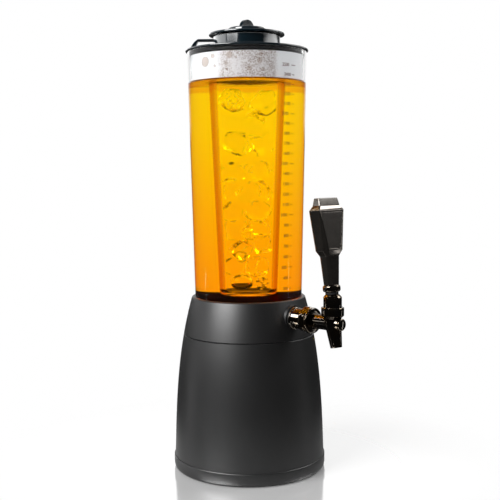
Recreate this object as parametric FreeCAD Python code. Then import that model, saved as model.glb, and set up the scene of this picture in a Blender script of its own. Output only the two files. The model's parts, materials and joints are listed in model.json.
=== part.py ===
import FreeCAD, Part
import math
import os

# Beer tower dispenser, 2.5 litres: a two-piece black stand, a clear tapered vessel with an ice tube
# hanging inside it, two lids, and a lever tap at the front.
# Millimetres. The origin is the centre of the foot pad's underside, on the tower's axis. +Z points up
# and the tap points along -Y. "Reach" below is a distance from the tower's axis towards the tap's tip.

# ---------------------------------------------------------------- driving dimensions
FIT = 0.05                     # radial play of threads, pins and running fits
SLIP = 0.2                     # play between mouldings that are pushed into each other

# stand: foot pad, base ring, base plate, skirt and collar
RING_RADIUS = 84.9
RING_LIFT = 0.8                # the ring stays this far above the table
RING_HEIGHT = 14.4
RING_WALL = 4.6
RING_LEDGE = 3.0               # reach of the ledge that carries the base plate
RING_LEDGE_THICKNESS = 1.6
RING_FOOT_INSET = 2.4          # the rounded foot: from the side in to the flat underside
RING_FOOT_KNEE_INSET = 0.6
RING_FOOT_KNEE_RISE = 1.4
RING_FOOT_HEIGHT = 4.8
RING_EDGE_CHAMFER = 0.8
PAD_SCREW_GAP = 7.4            # from the pad's edge to the heads of the base screws
PAD_GROOVE_COUNT = 3
PAD_GROOVE_INSET = 9.0         # from the pad's edge to its outermost groove
PAD_GROOVE_PITCH = 16.0
PAD_GROOVE_WIDTH = 2.0
PAD_GROOVE_DEPTH = 0.7
PLATE_THICKNESS = 3.0
SKIRT_INSET = 1.1              # from the ring's side in to the skirt's foot
SKIRT_HEIGHT = 135.2           # what shows above the ring
SIDE_TAPER = 5.5               # what the stand's side loses evenly from its foot to its top
STAND_WALL = 3.0
SEAM_GAP = 0.5
SEAM_CHAMFER = 0.5
SPIGOT_WALL = 2.6
SPIGOT_ROOT_HEIGHT = 4.0
LEDGE_DEPTH = 6.2              # from the skirt's top edge down to its inner ledge
LEDGE_THICKNESS = 3.0
LEDGE_REACH = 13.0
COLLAR_HEIGHT = 41.4
COLLAR_RIM = 3.44              # width of the collar's top face round the vessel
COLLAR_TOP_THICKNESS = 3.0
COLLAR_EDGE_CHAMFER = 0.9
COLLAR_FLOOR_THICKNESS = 3.0
COLLAR_FLOOR_RISE = 1.1        # from the collar's foot up to the underside of its floor
COLLAR_FLOOR_WIDTH = 37.0      # from the spigot in to the hole in the collar's floor

# screws of the stand
SCREW_RADIUS = 1.55
SCREW_HEAD_RADIUS = 3.2
SCREW_HEAD_HEIGHT = 1.5
SCREW_SLOT_WIDTH = 0.9
SCREW_BITE = 9.0               # depth of a boss's hole
SCREW_TIP_PLAY = 1.0           # from a screw's tip to the end of its hole
BOSS_RADIUS = 4.5
BOSS_OVERLAP = 0.6             # how far a boss runs into the wall beside it
BASE_BOSS_SPARE = 8.0          # how far a base boss stands up past its screw's hole
BASE_SCREW_COUNT = 6
COLLAR_SCREW_COUNT = 4

# vessel
VESSEL_HEIGHT = 303.0
VESSEL_TOP_RADIUS = 65.4
VESSEL_DRAFT = 1.315           # degrees
VESSEL_WALL = 2.3
VESSEL_FLOOR = 3.0
VESSEL_CORNER = 3.0
VESSEL_PLAY = 0.3              # radial gap to the collar's mouth
GASKET_THICKNESS = 2.0
GASKET_INSET = 0.45            # from the end of the vessel's flat underside in to the gasket
GASKET_WIDTH = 9.0
TAP_PAD_DEPTH = 2.3            # how far the flat pad round the tap hole stands inside the wall
TAP_PAD_MARGIN = 1.8           # what the pad has round its washer

# lids and ice tube
LID_OVERHANG = 1.8             # past the vessel's rim
LID_THICKNESS = 2.3
LID_EDGE_CHAMFER = 0.6
PLUG_PLAY = 0.5                # radial gap of the outer lid's plug in the vessel
INNER_PLUG_PLAY = 1.5          # radial gap of the inner lid's plug in the ice tube, which its seal fills
PLUG_WALL = 2.0
LID_PLUG_SPARE = 1.4           # what the lid's plug has below its seal
SEAL_HEIGHT = 1.8
SEAL_GROOVE = 0.9
SEAL_SETBACK = 1.2             # from the lid's underside down to the seal
NECK_PLAY = 0.62               # radial gap round the ice tube
NECK_WALL = 3.0
NECK_HEIGHT = 13.8
TAB_DIRECTION = 135.0          # degrees from +X, where the outer lid's finger tab points
TAB_WIDTH = 11.0
TAB_THICKNESS = 1.8
TAB_INSET = 5.2                # from the lid's edge to the foot of the tab
TAB_BEND_LENGTH = 9.0
TAB_RISE = 11.8
TAB_OUTER_ARCH = 0.62          # share of the rise that the outer face has half way along its bend
TAB_INNER_ARCH = 0.4           # the same for the inner face
TUBE_FLOOR_GAP = 35.0          # from the vessel's floor up to the ice tube
TUBE_BOTTOM_RADIUS = 23.8
TUBE_DRAFT = 1.87              # degrees
TUBE_WALL = 2.0
TUBE_FLOOR = 2.5
TUBE_CORNER = 4.0
TUBE_FLANGE_THICKNESS = 1.5
TUBE_FLANGE_INSET = 0.4        # from the neck's side
INNER_LID_OVERHANG = 4.8       # past the neck's side
INNER_LID_THICKNESS = 2.5
INNER_PLUG_DEPTH = 7.0
HUB_INSET = 20.8               # from the inner lid's edge in to its hub
HUB_HEIGHT = 6.0
HUB_CHAMFER = 1.2
FIN_INSET = 11.4               # from the hub's side in to the half-round grip
FIN_THICKNESS = 4.7

# tap: shank through the stand's collar and the vessel
TAP_RISE = 19.3                # tap's axis above the collar's floor
TAP_BOSS_PROUD = 1.238         # of the collar's side, at the tap's axis
SADDLE_REACH = 2.16            # from the vessel's side, at the tap's axis, to the flat back of the boss
TAP_BOSS_MARGIN = 1.2          # what the collar's boss has round the shank's flange
SHANK_RADIUS = 8.0
SHANK_WALL = 3.0
SHANK_TAIL = 2.24              # past its nut
SHANK_THREAD_CHAMFER = 0.8
SHANK_NECK_STEP = 2.8          # radius of the front thread over that of the rear one
SHANK_NECK_LENGTH = 16.5
SHANK_FLANGE_STEP = 1.4        # radius of the flange over that of the front thread
SHANK_FLANGE_THICKNESS = 2.5
VALVE_POCKET_WALL = 3.6
VALVE_POCKET_DEPTH = 13.0
WASHER_THICKNESS = 1.5
WASHER_INSET = 0.4             # from the edge of the shank's flange
SHANK_NUT_WALL = 2.5
SHANK_NUT_THICKNESS = 7.5

# tap: faucet
COUPLING_WALL = 2.0            # from the thread to the hexagon's flats
COUPLING_CORNER_STEP = 1.4     # of the turned corners over the flats
COUPLING_FACE_STEP = 0.4       # of the end faces below the flats
COUPLING_CHAMFER = 1.3
COUPLING_GRIP = 5.0            # length of the nut over the shank
COUPLING_COLLAR_LENGTH = 3.0
COUPLING_COLLAR_STEP = 0.8     # of the round front over the flats
COUPLING_LIP = 1.9
FAUCET_FLANGE_THICKNESS = 3.55
BARREL_WALL = 2.75
BARREL_LENGTH = 30.8           # from the faucet's rear face to the lever's vertical line
VALVE_BORE = 5.0
SPOUT_ROOT_RISE = 8.7          # above the tap's axis
SPOUT_ROOT_SETBACK = 0.75      # behind the lever's vertical line
SPOUT_ROOT_RADIUS = 9.5
SPOUT_DROP = 24.3              # of the tip, below the tap's axis
SPOUT_TIP_FORWARD = 5.0        # in front of the lever's vertical line
SPOUT_WALL = 2.0
SPOUT_BORE = 4.0
HEAD_RADIUS = 10.25            # threaded head of the faucet under the bonnet
HEAD_RISE = 14.4               # of the head's top, above the tap's axis
HEAD_SHOULDER_STEP = 1.45
HEAD_SHOULDER_HEIGHT = 1.6
BONNET_WALL = 1.55
BONNET_RISE = 7.1              # of the bonnet ring's foot, above the tap's axis
BONNET_COVER = 2.8             # of the bonnet ring's top, above the head
BONNET_FOOT_CHAMFER = 1.5
BONNET_EDGE_CHAMFER = 0.6
BONNET_LIP = 1.4
FRONT_BOSS_WALL = 1.3
FRONT_BOSS_LENGTH = 10.1       # from the lever's vertical line
FRONT_PLUG_LENGTH = 2.9
FRONT_PLUG_THREAD = 5.5
FRONT_PLUG_CHAMFER = 0.8

# tap: lever and valve
BALL_RADIUS = 6.0
BALL_LIFT = 0.7                # from the head's top up to the ball
STEM_RADIUS = 3.0
STEM_BITE = 13.4               # length of the stem in the handle's insert
FINGER_RADIUS = 2.1            # of the finger's ball tip, and of its root at the pivot
FINGER_NECK_RADIUS = 1.4       # just above the tip
FINGER_REACH = 0.1             # of the tip's centre past the valve's axis, with the finger upright
FINGER_PLAY = 0.35
LEVER_LEAN = 5.0               # degrees back towards the tower, tap shut
LEVER_TRAVEL = 25.0            # degrees forward, tap open
FINGER_ANGLE = 7.0             # degrees between the finger and the line of the handle
LEVER_SLOT_PLAY = 0.3
DOME_WALL = 3.5                # radius of the dome's side over that of the ball
DOME_CROWN = 5.5               # radius of the dome's top over that of the ball
SEAT_WALL = 2.0                # radius of the seat's side over that of the ball
SEAT_HEIGHT = 3.0
SEAT_HOLE_TOP = 5.0
SEAT_HOLE_FLARE = 1.9
SHAFT_RADIUS = 2.5
SHAFT_TAIL = 1.0               # past the seal's nut
SEAL_PLAY = 0.9
SEAL_THICKNESS = 2.2
SEAL_NUT_WALL = 1.25
SEAL_NUT_THICKNESS = 2.8
SHAFT_FLANGE_STEP = 1.7
SHAFT_FLANGE_THICKNESS = 1.3
GUIDE_WIDTH = 7.0
GUIDE_SETBACK = 9.0            # in front of the faucet's rear face
GUIDE_LENGTH = 6.0
YOKE_WEB = 1.6
YOKE_SIDE = 1.4
YOKE_SIDE_PLAY = 0.3
YOKE_TOP = 3.0                 # height of the yoke's flat top above the valve's axis

# handle, along its own line
FERRULE_GAP = 0.35             # from the dome's crown
FERRULE_LENGTH = 6.95
FERRULE_RADIUS = 9.15
FERRULE_END_RADIUS = 7.4
FERRULE_SHOULDER = 1.25        # how far from each end the bead has nearly its full radius
FERRULE_SHOULDER_RADIUS = 8.9
WIPER_GAP = 0.1                # from the dome's crown
WIPER_RADIUS = 6.8
INSERT_SETBACK = 0.8           # from the handle's foot
INSERT_LENGTH = 15.0
INSERT_WALL = 1.4
NECK_LENGTH = 29.5
FLARE_LENGTH = 5.9
PADDLE_LENGTH = 41.3
SHOULDER_LENGTH = 4.6
CAP_LENGTH = 7.9
# each section: width, thickness, corner chamfer
NECK_FOOT = (15.8, 13.4, 3.8)
NECK_HEAD = (20.0, 12.6, 2.3)
PADDLE_FOOT = (30.3, 17.2, 4.05)
PADDLE_HEAD = (39.0, 14.8, 0.9)
CAP_FOOT = (32.0, 10.4, 0.8)
CAP_HEAD = (29.0, 7.8, 0.8)
PANEL_MARGIN = 1.3
PANEL_END_MARGIN = 2.0
PANEL_RECESS = 1.2
PANEL_THICKNESS = 0.9

# ---------------------------------------------------------------- heights worked out from the above
UP = FreeCAD.Vector(0, 0, 1)
FORWARD = FreeCAD.Vector(0, -1, 0)

RING_TOP = RING_LIFT + RING_HEIGHT
PAD_TOP = RING_LIFT + RING_LEDGE_THICKNESS
PLATE_TOP = PAD_TOP + PLATE_THICKNESS
SKIRT_TOP = RING_TOP + SKIRT_HEIGHT
LEDGE_TOP = SKIRT_TOP - LEDGE_DEPTH
COLLAR_FOOT = SKIRT_TOP + SEAM_GAP
COLLAR_TOP = COLLAR_FOOT + COLLAR_HEIGHT
COLLAR_FLOOR = COLLAR_FOOT + COLLAR_FLOOR_RISE + COLLAR_FLOOR_THICKNESS
VESSEL_FOOT = COLLAR_FLOOR + GASKET_THICKNESS
VESSEL_TOP = VESSEL_FOOT + VESSEL_HEIGHT
LID_TOP = VESSEL_TOP + LID_THICKNESS
LID_PLUG_DEPTH = SEAL_SETBACK + SEAL_HEIGHT + LID_PLUG_SPARE
NECK_TOP = LID_TOP + NECK_HEIGHT
TUBE_BOTTOM = VESSEL_FOOT + VESSEL_FLOOR + TUBE_FLOOR_GAP
TUBE_TOP = NECK_TOP + TUBE_FLANGE_THICKNESS
INNER_LID_TOP = TUBE_TOP + INNER_LID_THICKNESS
TAP_HEIGHT = COLLAR_FLOOR + TAP_RISE
HEAD_TOP = TAP_HEIGHT + HEAD_RISE
BONNET_FOOT = TAP_HEIGHT + BONNET_RISE
BONNET_TOP = HEAD_TOP + BONNET_COVER
PIVOT_HEIGHT = HEAD_TOP + BALL_LIFT + BALL_RADIUS


# ---------------------------------------------------------------- walls
def vessel_radius(z):
    """Outer radius of the vessel at height z."""
    return VESSEL_TOP_RADIUS - (VESSEL_TOP - z) * math.tan(math.radians(VESSEL_DRAFT))


def tube_radius(z):
    """Outer radius of the ice tube at height z."""
    return TUBE_BOTTOM_RADIUS + (z - TUBE_BOTTOM) * math.tan(math.radians(TUBE_DRAFT))


STAND_FOOT_RADIUS = RING_RADIUS - SKIRT_INSET
STAND_TOP_RADIUS = vessel_radius(COLLAR_TOP) + VESSEL_PLAY + COLLAR_RIM
# what the stand's side loses more and more towards its top
SHOULDER_CURVE = STAND_FOOT_RADIUS - SIDE_TAPER - STAND_TOP_RADIUS


def stand_radius(z):
    """Outer radius of the skirt and the collar at height z."""
    t = (z - RING_TOP) / (COLLAR_TOP - RING_TOP)
    return STAND_FOOT_RADIUS - SIDE_TAPER * t - SHOULDER_CURVE * t ** 3


# ---------------------------------------------------------------- radii and reaches worked out from the above
RING_BORE = RING_RADIUS - RING_WALL
SKIRT_SPIGOT_RADIUS = RING_BORE - SLIP
BASE_BOSS_CIRCLE = SKIRT_SPIGOT_RADIUS - SPIGOT_WALL - BOSS_RADIUS + BOSS_OVERLAP
PAD_RADIUS = BASE_BOSS_CIRCLE - SCREW_HEAD_RADIUS - PAD_SCREW_GAP
COLLAR_SPIGOT_RADIUS = stand_radius(SKIRT_TOP) - STAND_WALL - SLIP
COLLAR_SCREW_CIRCLE = COLLAR_SPIGOT_RADIUS - SPIGOT_WALL - BOSS_RADIUS + BOSS_OVERLAP
COLLAR_FLOOR_HOLE = COLLAR_SPIGOT_RADIUS - SPIGOT_WALL - COLLAR_FLOOR_WIDTH
GASKET_OUTER_RADIUS = vessel_radius(VESSEL_FOOT) - VESSEL_CORNER - GASKET_INSET
LID_RADIUS = VESSEL_TOP_RADIUS + LID_OVERHANG
NECK_RADIUS = tube_radius(NECK_TOP) + NECK_PLAY + NECK_WALL
INNER_LID_RADIUS = NECK_RADIUS + INNER_LID_OVERHANG
HUB_RADIUS = INNER_LID_RADIUS - HUB_INSET
FIN_RADIUS = HUB_RADIUS - FIN_INSET

SHANK_BORE = SHANK_RADIUS - SHANK_WALL
SHANK_NECK_RADIUS = SHANK_RADIUS + SHANK_NECK_STEP
SHANK_FLANGE_RADIUS = SHANK_NECK_RADIUS + SHANK_FLANGE_STEP
SHANK_NUT_FLATS = 2 * (SHANK_RADIUS + SHANK_NUT_WALL)
VALVE_POCKET_RADIUS = SHANK_NECK_RADIUS - VALVE_POCKET_WALL
WASHER_RADIUS = SHANK_FLANGE_RADIUS - WASHER_INSET
TAP_BOSS_RADIUS = SHANK_FLANGE_RADIUS + TAP_BOSS_MARGIN
TAP_PAD_RADIUS = WASHER_RADIUS + TAP_PAD_MARGIN
TAP_PAD_REACH = vessel_radius(TAP_HEIGHT) - VESSEL_WALL - TAP_PAD_DEPTH
SHANK_REAR_REACH = TAP_PAD_REACH - WASHER_THICKNESS - SHANK_NUT_THICKNESS - SHANK_TAIL
SPOT_FACE_REACH = stand_radius(TAP_HEIGHT) + TAP_BOSS_PROUD
TAP_BOSS_INNER_REACH = vessel_radius(TAP_HEIGHT) + SADDLE_REACH
SHANK_FRONT_REACH = SPOT_FACE_REACH + WASHER_THICKNESS + SHANK_FLANGE_THICKNESS + SHANK_NECK_LENGTH
FAUCET_REAR_REACH = SHANK_FRONT_REACH + WASHER_THICKNESS
LEVER_REACH = FAUCET_REAR_REACH + BARREL_LENGTH
BARREL_RADIUS = VALVE_BORE + BARREL_WALL
SPOUT_TIP_RADIUS = SPOUT_BORE + SPOUT_WALL
FRONT_BOSS_RADIUS = VALVE_BORE + FRONT_BOSS_WALL
FRONT_BOSS_REACH = LEVER_REACH + FRONT_BOSS_LENGTH
FRONT_PLUG_REACH = FRONT_BOSS_REACH + FRONT_PLUG_LENGTH
COUPLING_FLATS = 2 * (SHANK_NECK_RADIUS + COUPLING_WALL)
COUPLING_REAR_REACH = SHANK_FRONT_REACH - COUPLING_GRIP
COUPLING_FRONT_REACH = FAUCET_REAR_REACH + FAUCET_FLANGE_THICKNESS + COUPLING_LIP + FIT
BONNET_RADIUS = HEAD_RADIUS + BONNET_WALL

PIVOT = FreeCAD.Vector(0, -LEVER_REACH, PIVOT_HEIGHT)
DOME_RADIUS = BALL_RADIUS + DOME_WALL
DOME_SPHERE_RADIUS = BALL_RADIUS + DOME_CROWN
SEAT_RADIUS = BALL_RADIUS + SEAT_WALL
FINGER_LENGTH = PIVOT_HEIGHT - TAP_HEIGHT + FINGER_REACH
SEAL_RADIUS = VALVE_POCKET_RADIUS - SEAL_PLAY
SEAL_REAR_REACH = FAUCET_REAR_REACH - FIT - SEAL_THICKNESS
SEAL_NUT_FLATS = 2 * (SHAFT_RADIUS + SEAL_NUT_WALL)
SHAFT_REAR_REACH = SEAL_REAR_REACH - SEAL_NUT_THICKNESS - SHAFT_TAIL
SHAFT_FLANGE_RADIUS = SHAFT_RADIUS + SHAFT_FLANGE_STEP
GUIDE_REACH = FAUCET_REAR_REACH + GUIDE_SETBACK
YOKE_HALF_WIDTH = FINGER_RADIUS + YOKE_SIDE_PLAY + YOKE_SIDE

# along the handle's own line, from the pivot
FERRULE_START = DOME_SPHERE_RADIUS + FERRULE_GAP
FERRULE_END = FERRULE_START + FERRULE_LENGTH
INSERT_START = FERRULE_END + INSERT_SETBACK
INSERT_RADIUS = STEM_RADIUS + INSERT_WALL
STEM_LENGTH = INSERT_START + STEM_BITE
NECK_END = FERRULE_END + NECK_LENGTH
PADDLE_START = NECK_END + FLARE_LENGTH
PADDLE_END = PADDLE_START + PADDLE_LENGTH
CAP_START = PADDLE_END + SHOULDER_LENGTH


# ---------------------------------------------------------------- general helpers
def turned(points, centre=FreeCAD.Vector(0, 0, 0), direction=UP):
    """Turn a closed outline of (distance from the axis, distance along it) points into a solid.

    A point may be a list of points, which is then one smooth curve.
    """
    side = FreeCAD.Vector(1, 0, 0)

    def place(point):
        return centre + side * point[0] + direction * point[1]

    edges = []
    last = points[-1][-1] if isinstance(points[-1], list) else points[-1]
    for item in points:
        run = item if isinstance(item, list) else [item]
        if place(last).distanceToPoint(place(run[0])) > 1e-6:
            edges.append(Part.makeLine(place(last), place(run[0])))
        if len(run) > 1:
            curve = Part.BSplineCurve()
            curve.interpolate([place(point) for point in run])
            edges.append(curve.toShape())
        last = run[-1]
    return Part.Face(Part.Wire(edges)).revolve(centre, direction, 360)


def upright(radius, z0, z1, x=0.0, y=0.0):
    """A cylinder that stands on height z0 and reaches z1."""
    return Part.makeCylinder(radius, z1 - z0, FreeCAD.Vector(x, y, z0), UP)


def along_tap(radius, reach0, reach1):
    """A cylinder on the tap's axis, from one reach to another."""
    start = FreeCAD.Vector(0, -reach0, TAP_HEIGHT)
    return Part.makeCylinder(radius, reach1 - reach0, start, FORWARD)


def tap_turned(points):
    """Turn (reach, radius) points about the tap's axis."""
    outline = [(radius, reach) for reach, radius in points]
    return turned(outline, FreeCAD.Vector(0, 0, TAP_HEIGHT), FORWARD)


def hex_prism(flats, reach0, reach1):
    """A hexagonal bar on the tap's axis, with a corner at the top."""
    corner = flats / math.sqrt(3)
    ring = []
    for step in range(7):
        angle = math.radians(90 + 60 * step)
        x = corner * math.cos(angle)
        z = TAP_HEIGHT + corner * math.sin(angle)
        ring.append(FreeCAD.Vector(x, -reach0, z))
    return Part.Face(Part.makePolygon(ring)).extrude(FORWARD * (reach1 - reach0))


def on_circle(count, radius, first_angle):
    """Evenly spaced (x, y) places on a circle."""
    places = []
    for step in range(count):
        angle = math.radians(first_angle + 360.0 * step / count)
        places.append((radius * math.cos(angle), radius * math.sin(angle)))
    return places


def curve_points(radius_at, z0, z1, inset=0.0, count=7):
    """Points of a wall line from height z0 to z1, set in from the outside by inset."""
    heights = [z0 + (z1 - z0) * step / (count - 1) for step in range(count)]
    return [(radius_at(z) - inset, z) for z in heights]


def screw(x, y, head_z, length):
    """A cheese-head screw that points up. Its head bears on what lies above height head_z."""
    head = upright(SCREW_HEAD_RADIUS, head_z - SCREW_HEAD_HEIGHT, head_z, x, y)
    shank = upright(SCREW_RADIUS, head_z, head_z + length, x, y)
    slot_length = 2 * SCREW_HEAD_RADIUS
    corner = FreeCAD.Vector(x - slot_length / 2, y - SCREW_SLOT_WIDTH / 2, head_z - SCREW_HEAD_HEIGHT)
    slot = Part.makeBox(slot_length, SCREW_SLOT_WIDTH, SCREW_HEAD_HEIGHT / 2, corner, UP)
    return head.fuse(shank).cut(slot)


def swing_slot(radius, length, angle0, angle1, upwards):
    """The space that a round bar from the pivot sweeps between two angles, each leaning forward."""
    sign = 1 if upwards else -1

    def tip(angle, reach):
        lean = math.radians(angle)
        offset = FreeCAD.Vector(0, -math.sin(lean), math.cos(lean)) * (sign * reach)
        return PIVOT + offset

    bars = []
    for angle in (angle0, angle1):
        bars.append(Part.makeCylinder(radius, length, PIVOT, tip(angle, length) - PIVOT))
    chord = length / math.cos(math.radians(angle1 - angle0) / 2)
    fan = [PIVOT, tip(angle0, length), tip((angle0 + angle1) / 2, chord), tip(angle1, length), PIVOT]
    plate = Part.Face(Part.makePolygon(fan)).extrude(FreeCAD.Vector(2 * radius, 0, 0))
    plate.translate(FreeCAD.Vector(-radius, 0, 0))
    return plate.fuse(bars)


# ---------------------------------------------------------------- stand
def anti_slip_pad():
    pad = upright(PAD_RADIUS, 0, PAD_TOP)
    for step in range(PAD_GROOVE_COUNT):
        radius = PAD_RADIUS - PAD_GROOVE_INSET - step * PAD_GROOVE_PITCH
        outer = upright(radius + PAD_GROOVE_WIDTH / 2, 0, PAD_GROOVE_DEPTH)
        inner = upright(radius - PAD_GROOVE_WIDTH / 2, 0, PAD_GROOVE_DEPTH)
        pad = pad.cut(outer.cut(inner))
    return pad


def base_ring():
    """Trim ring with a ledge at its foot that holds the base plate."""
    return turned([
        (RING_BORE - RING_LEDGE, RING_LIFT),
        (RING_RADIUS - RING_FOOT_INSET, RING_LIFT),
        (RING_RADIUS - RING_FOOT_KNEE_INSET, RING_LIFT + RING_FOOT_KNEE_RISE),
        (RING_RADIUS, RING_LIFT + RING_FOOT_HEIGHT),
        (RING_RADIUS, RING_TOP - RING_EDGE_CHAMFER),
        (RING_RADIUS - RING_EDGE_CHAMFER, RING_TOP),
        (RING_BORE, RING_TOP),
        (RING_BORE, PAD_TOP),
        (RING_BORE - RING_LEDGE, PAD_TOP),
    ])


def base_plate():
    plate = upright(RING_BORE - SLIP, PAD_TOP, PLATE_TOP)
    for x, y in on_circle(BASE_SCREW_COUNT, BASE_BOSS_CIRCLE, 30):
        plate = plate.cut(upright(SCREW_RADIUS + SLIP, PAD_TOP, PLATE_TOP, x, y))
    return plate


def base_screws():
    places = on_circle(BASE_SCREW_COUNT, BASE_BOSS_CIRCLE, 30)
    length = PLATE_THICKNESS + SCREW_BITE - SCREW_TIP_PLAY
    return Part.makeCompound([screw(x, y, PAD_TOP, length) for x, y in places])


def skirt():
    """Tall lower shell: a spigot in the base ring, a smooth side, and a ledge under its top edge."""
    spigot_bore = SKIRT_SPIGOT_RADIUS - SPIGOT_WALL
    root = RING_TOP + SPIGOT_ROOT_HEIGHT
    slope = stand_radius(root) - STAND_WALL - spigot_bore
    ledge_bottom = LEDGE_TOP - LEDGE_THICKNESS
    ledge_bore = stand_radius(SKIRT_TOP) - STAND_WALL - LEDGE_REACH
    shell = turned([
        curve_points(stand_radius, RING_TOP, SKIRT_TOP - SEAM_CHAMFER),
        (stand_radius(SKIRT_TOP) - SEAM_CHAMFER, SKIRT_TOP),
        curve_points(stand_radius, SKIRT_TOP, LEDGE_TOP, STAND_WALL, 3),
        (ledge_bore, LEDGE_TOP),
        (ledge_bore, ledge_bottom),
        curve_points(stand_radius, ledge_bottom, root + slope, STAND_WALL),
        (spigot_bore, root),
        (spigot_bore, PLATE_TOP),
        (SKIRT_SPIGOT_RADIUS, PLATE_TOP),
        (SKIRT_SPIGOT_RADIUS, RING_TOP),
    ])
    base_places = on_circle(BASE_SCREW_COUNT, BASE_BOSS_CIRCLE, 30)
    boss_top = PLATE_TOP + SCREW_BITE + BASE_BOSS_SPARE
    bosses = [upright(BOSS_RADIUS, PLATE_TOP, boss_top, x, y) for x, y in base_places]
    shell = shell.fuse(bosses)
    for x, y in base_places:
        shell = shell.cut(upright(SCREW_RADIUS + FIT, PLATE_TOP, PLATE_TOP + SCREW_BITE, x, y))
    for x, y in on_circle(COLLAR_SCREW_COUNT, COLLAR_SCREW_CIRCLE, 45):
        shell = shell.cut(upright(SCREW_RADIUS + SLIP, ledge_bottom, LEDGE_TOP, x, y))
    return shell


def collar():
    """Upper shell: carries the vessel on its floor and the tap on a flat boss at its front."""
    spigot = COLLAR_SPIGOT_RADIUS
    floor_bottom = COLLAR_FOOT + COLLAR_FLOOR_RISE
    top_underside = COLLAR_TOP - COLLAR_TOP_THICKNESS
    mouth = vessel_radius(COLLAR_TOP) + VESSEL_PLAY
    shell = turned([
        curve_points(stand_radius, COLLAR_FOOT + SEAM_CHAMFER, COLLAR_TOP - COLLAR_EDGE_CHAMFER),
        (stand_radius(COLLAR_TOP) - COLLAR_EDGE_CHAMFER, COLLAR_TOP),
        (mouth, COLLAR_TOP),
        (mouth, top_underside),
        curve_points(stand_radius, top_underside, COLLAR_FLOOR, STAND_WALL),
        (COLLAR_FLOOR_HOLE, COLLAR_FLOOR),
        (COLLAR_FLOOR_HOLE, floor_bottom),
        (spigot - SPIGOT_WALL, floor_bottom),
        (spigot - SPIGOT_WALL, LEDGE_TOP),
        (spigot, LEDGE_TOP),
        (spigot, COLLAR_FOOT),
        (stand_radius(COLLAR_FOOT) - SEAM_CHAMFER, COLLAR_FOOT),
    ])
    screw_places = on_circle(COLLAR_SCREW_COUNT, COLLAR_SCREW_CIRCLE, 45)
    bosses = [upright(BOSS_RADIUS, LEDGE_TOP, COLLAR_FLOOR, x, y) for x, y in screw_places]
    tap_boss = along_tap(TAP_BOSS_RADIUS, TAP_BOSS_INNER_REACH, SPOT_FACE_REACH)
    shell = shell.fuse(bosses + [tap_boss])
    for x, y in screw_places:
        shell = shell.cut(upright(SCREW_RADIUS + FIT, LEDGE_TOP, LEDGE_TOP + SCREW_BITE, x, y))
    outside = stand_radius(COLLAR_FOOT)
    shell = shell.cut(along_tap(SHANK_FLANGE_RADIUS + SLIP, SPOT_FACE_REACH, outside))
    return shell.cut(along_tap(SHANK_RADIUS + SLIP, TAP_BOSS_INNER_REACH - STAND_WALL, outside))


def collar_screws():
    places = on_circle(COLLAR_SCREW_COUNT, COLLAR_SCREW_CIRCLE, 45)
    length = LEDGE_THICKNESS + SCREW_BITE - SCREW_TIP_PLAY
    return Part.makeCompound([screw(x, y, LEDGE_TOP - LEDGE_THICKNESS, length) for x, y in places])


# ---------------------------------------------------------------- vessel
def vessel_gasket():
    ring = upright(GASKET_OUTER_RADIUS, COLLAR_FLOOR, VESSEL_FOOT)
    return ring.cut(upright(GASKET_OUTER_RADIUS - GASKET_WIDTH, COLLAR_FLOOR, VESSEL_FOOT))


def vessel_blank(grow=0.0):
    """The vessel's outer shape as a full body, grown sideways by a clearance."""
    return turned([
        (0, VESSEL_FOOT),
        (vessel_radius(VESSEL_FOOT) - VESSEL_CORNER + grow, VESSEL_FOOT),
        (vessel_radius(VESSEL_FOOT + VESSEL_CORNER) + grow, VESSEL_FOOT + VESSEL_CORNER),
        (vessel_radius(VESSEL_TOP) + grow, VESSEL_TOP),
        (0, VESSEL_TOP),
    ])


def vessel():
    """Clear tapered cup with a floor, and a flat pad inside it round the tap's hole."""
    floor = VESSEL_FOOT + VESSEL_FLOOR
    blank = vessel_blank()
    hollow = turned([
        (0, floor),
        (vessel_radius(floor) - VESSEL_WALL - VESSEL_CORNER, floor),
        (vessel_radius(floor + VESSEL_CORNER) - VESSEL_WALL, floor + VESSEL_CORNER),
        (vessel_radius(VESSEL_TOP) - VESSEL_WALL, VESSEL_TOP),
        (0, VESSEL_TOP),
    ])
    pad = along_tap(TAP_PAD_RADIUS, TAP_PAD_REACH, vessel_radius(TAP_HEIGHT)).common(blank)
    hole = along_tap(SHANK_RADIUS + SLIP, TAP_PAD_REACH - WASHER_THICKNESS, RING_RADIUS)
    return blank.cut(hollow).fuse(pad).cut(hole)


# ---------------------------------------------------------------- lids and ice tube
def plug_seal(plug_radius, underside, rim_radius):
    """Soft ring in the groove of a lid's plug."""
    groove_top = underside - SEAL_SETBACK
    outer = upright(rim_radius, groove_top - SEAL_HEIGHT, groove_top)
    return outer.cut(upright(plug_radius - SEAL_GROOVE, groove_top - SEAL_HEIGHT, groove_top))


def lid_plug_radius():
    return vessel_radius(VESSEL_TOP - LID_PLUG_DEPTH) - VESSEL_WALL - PLUG_PLAY


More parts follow.
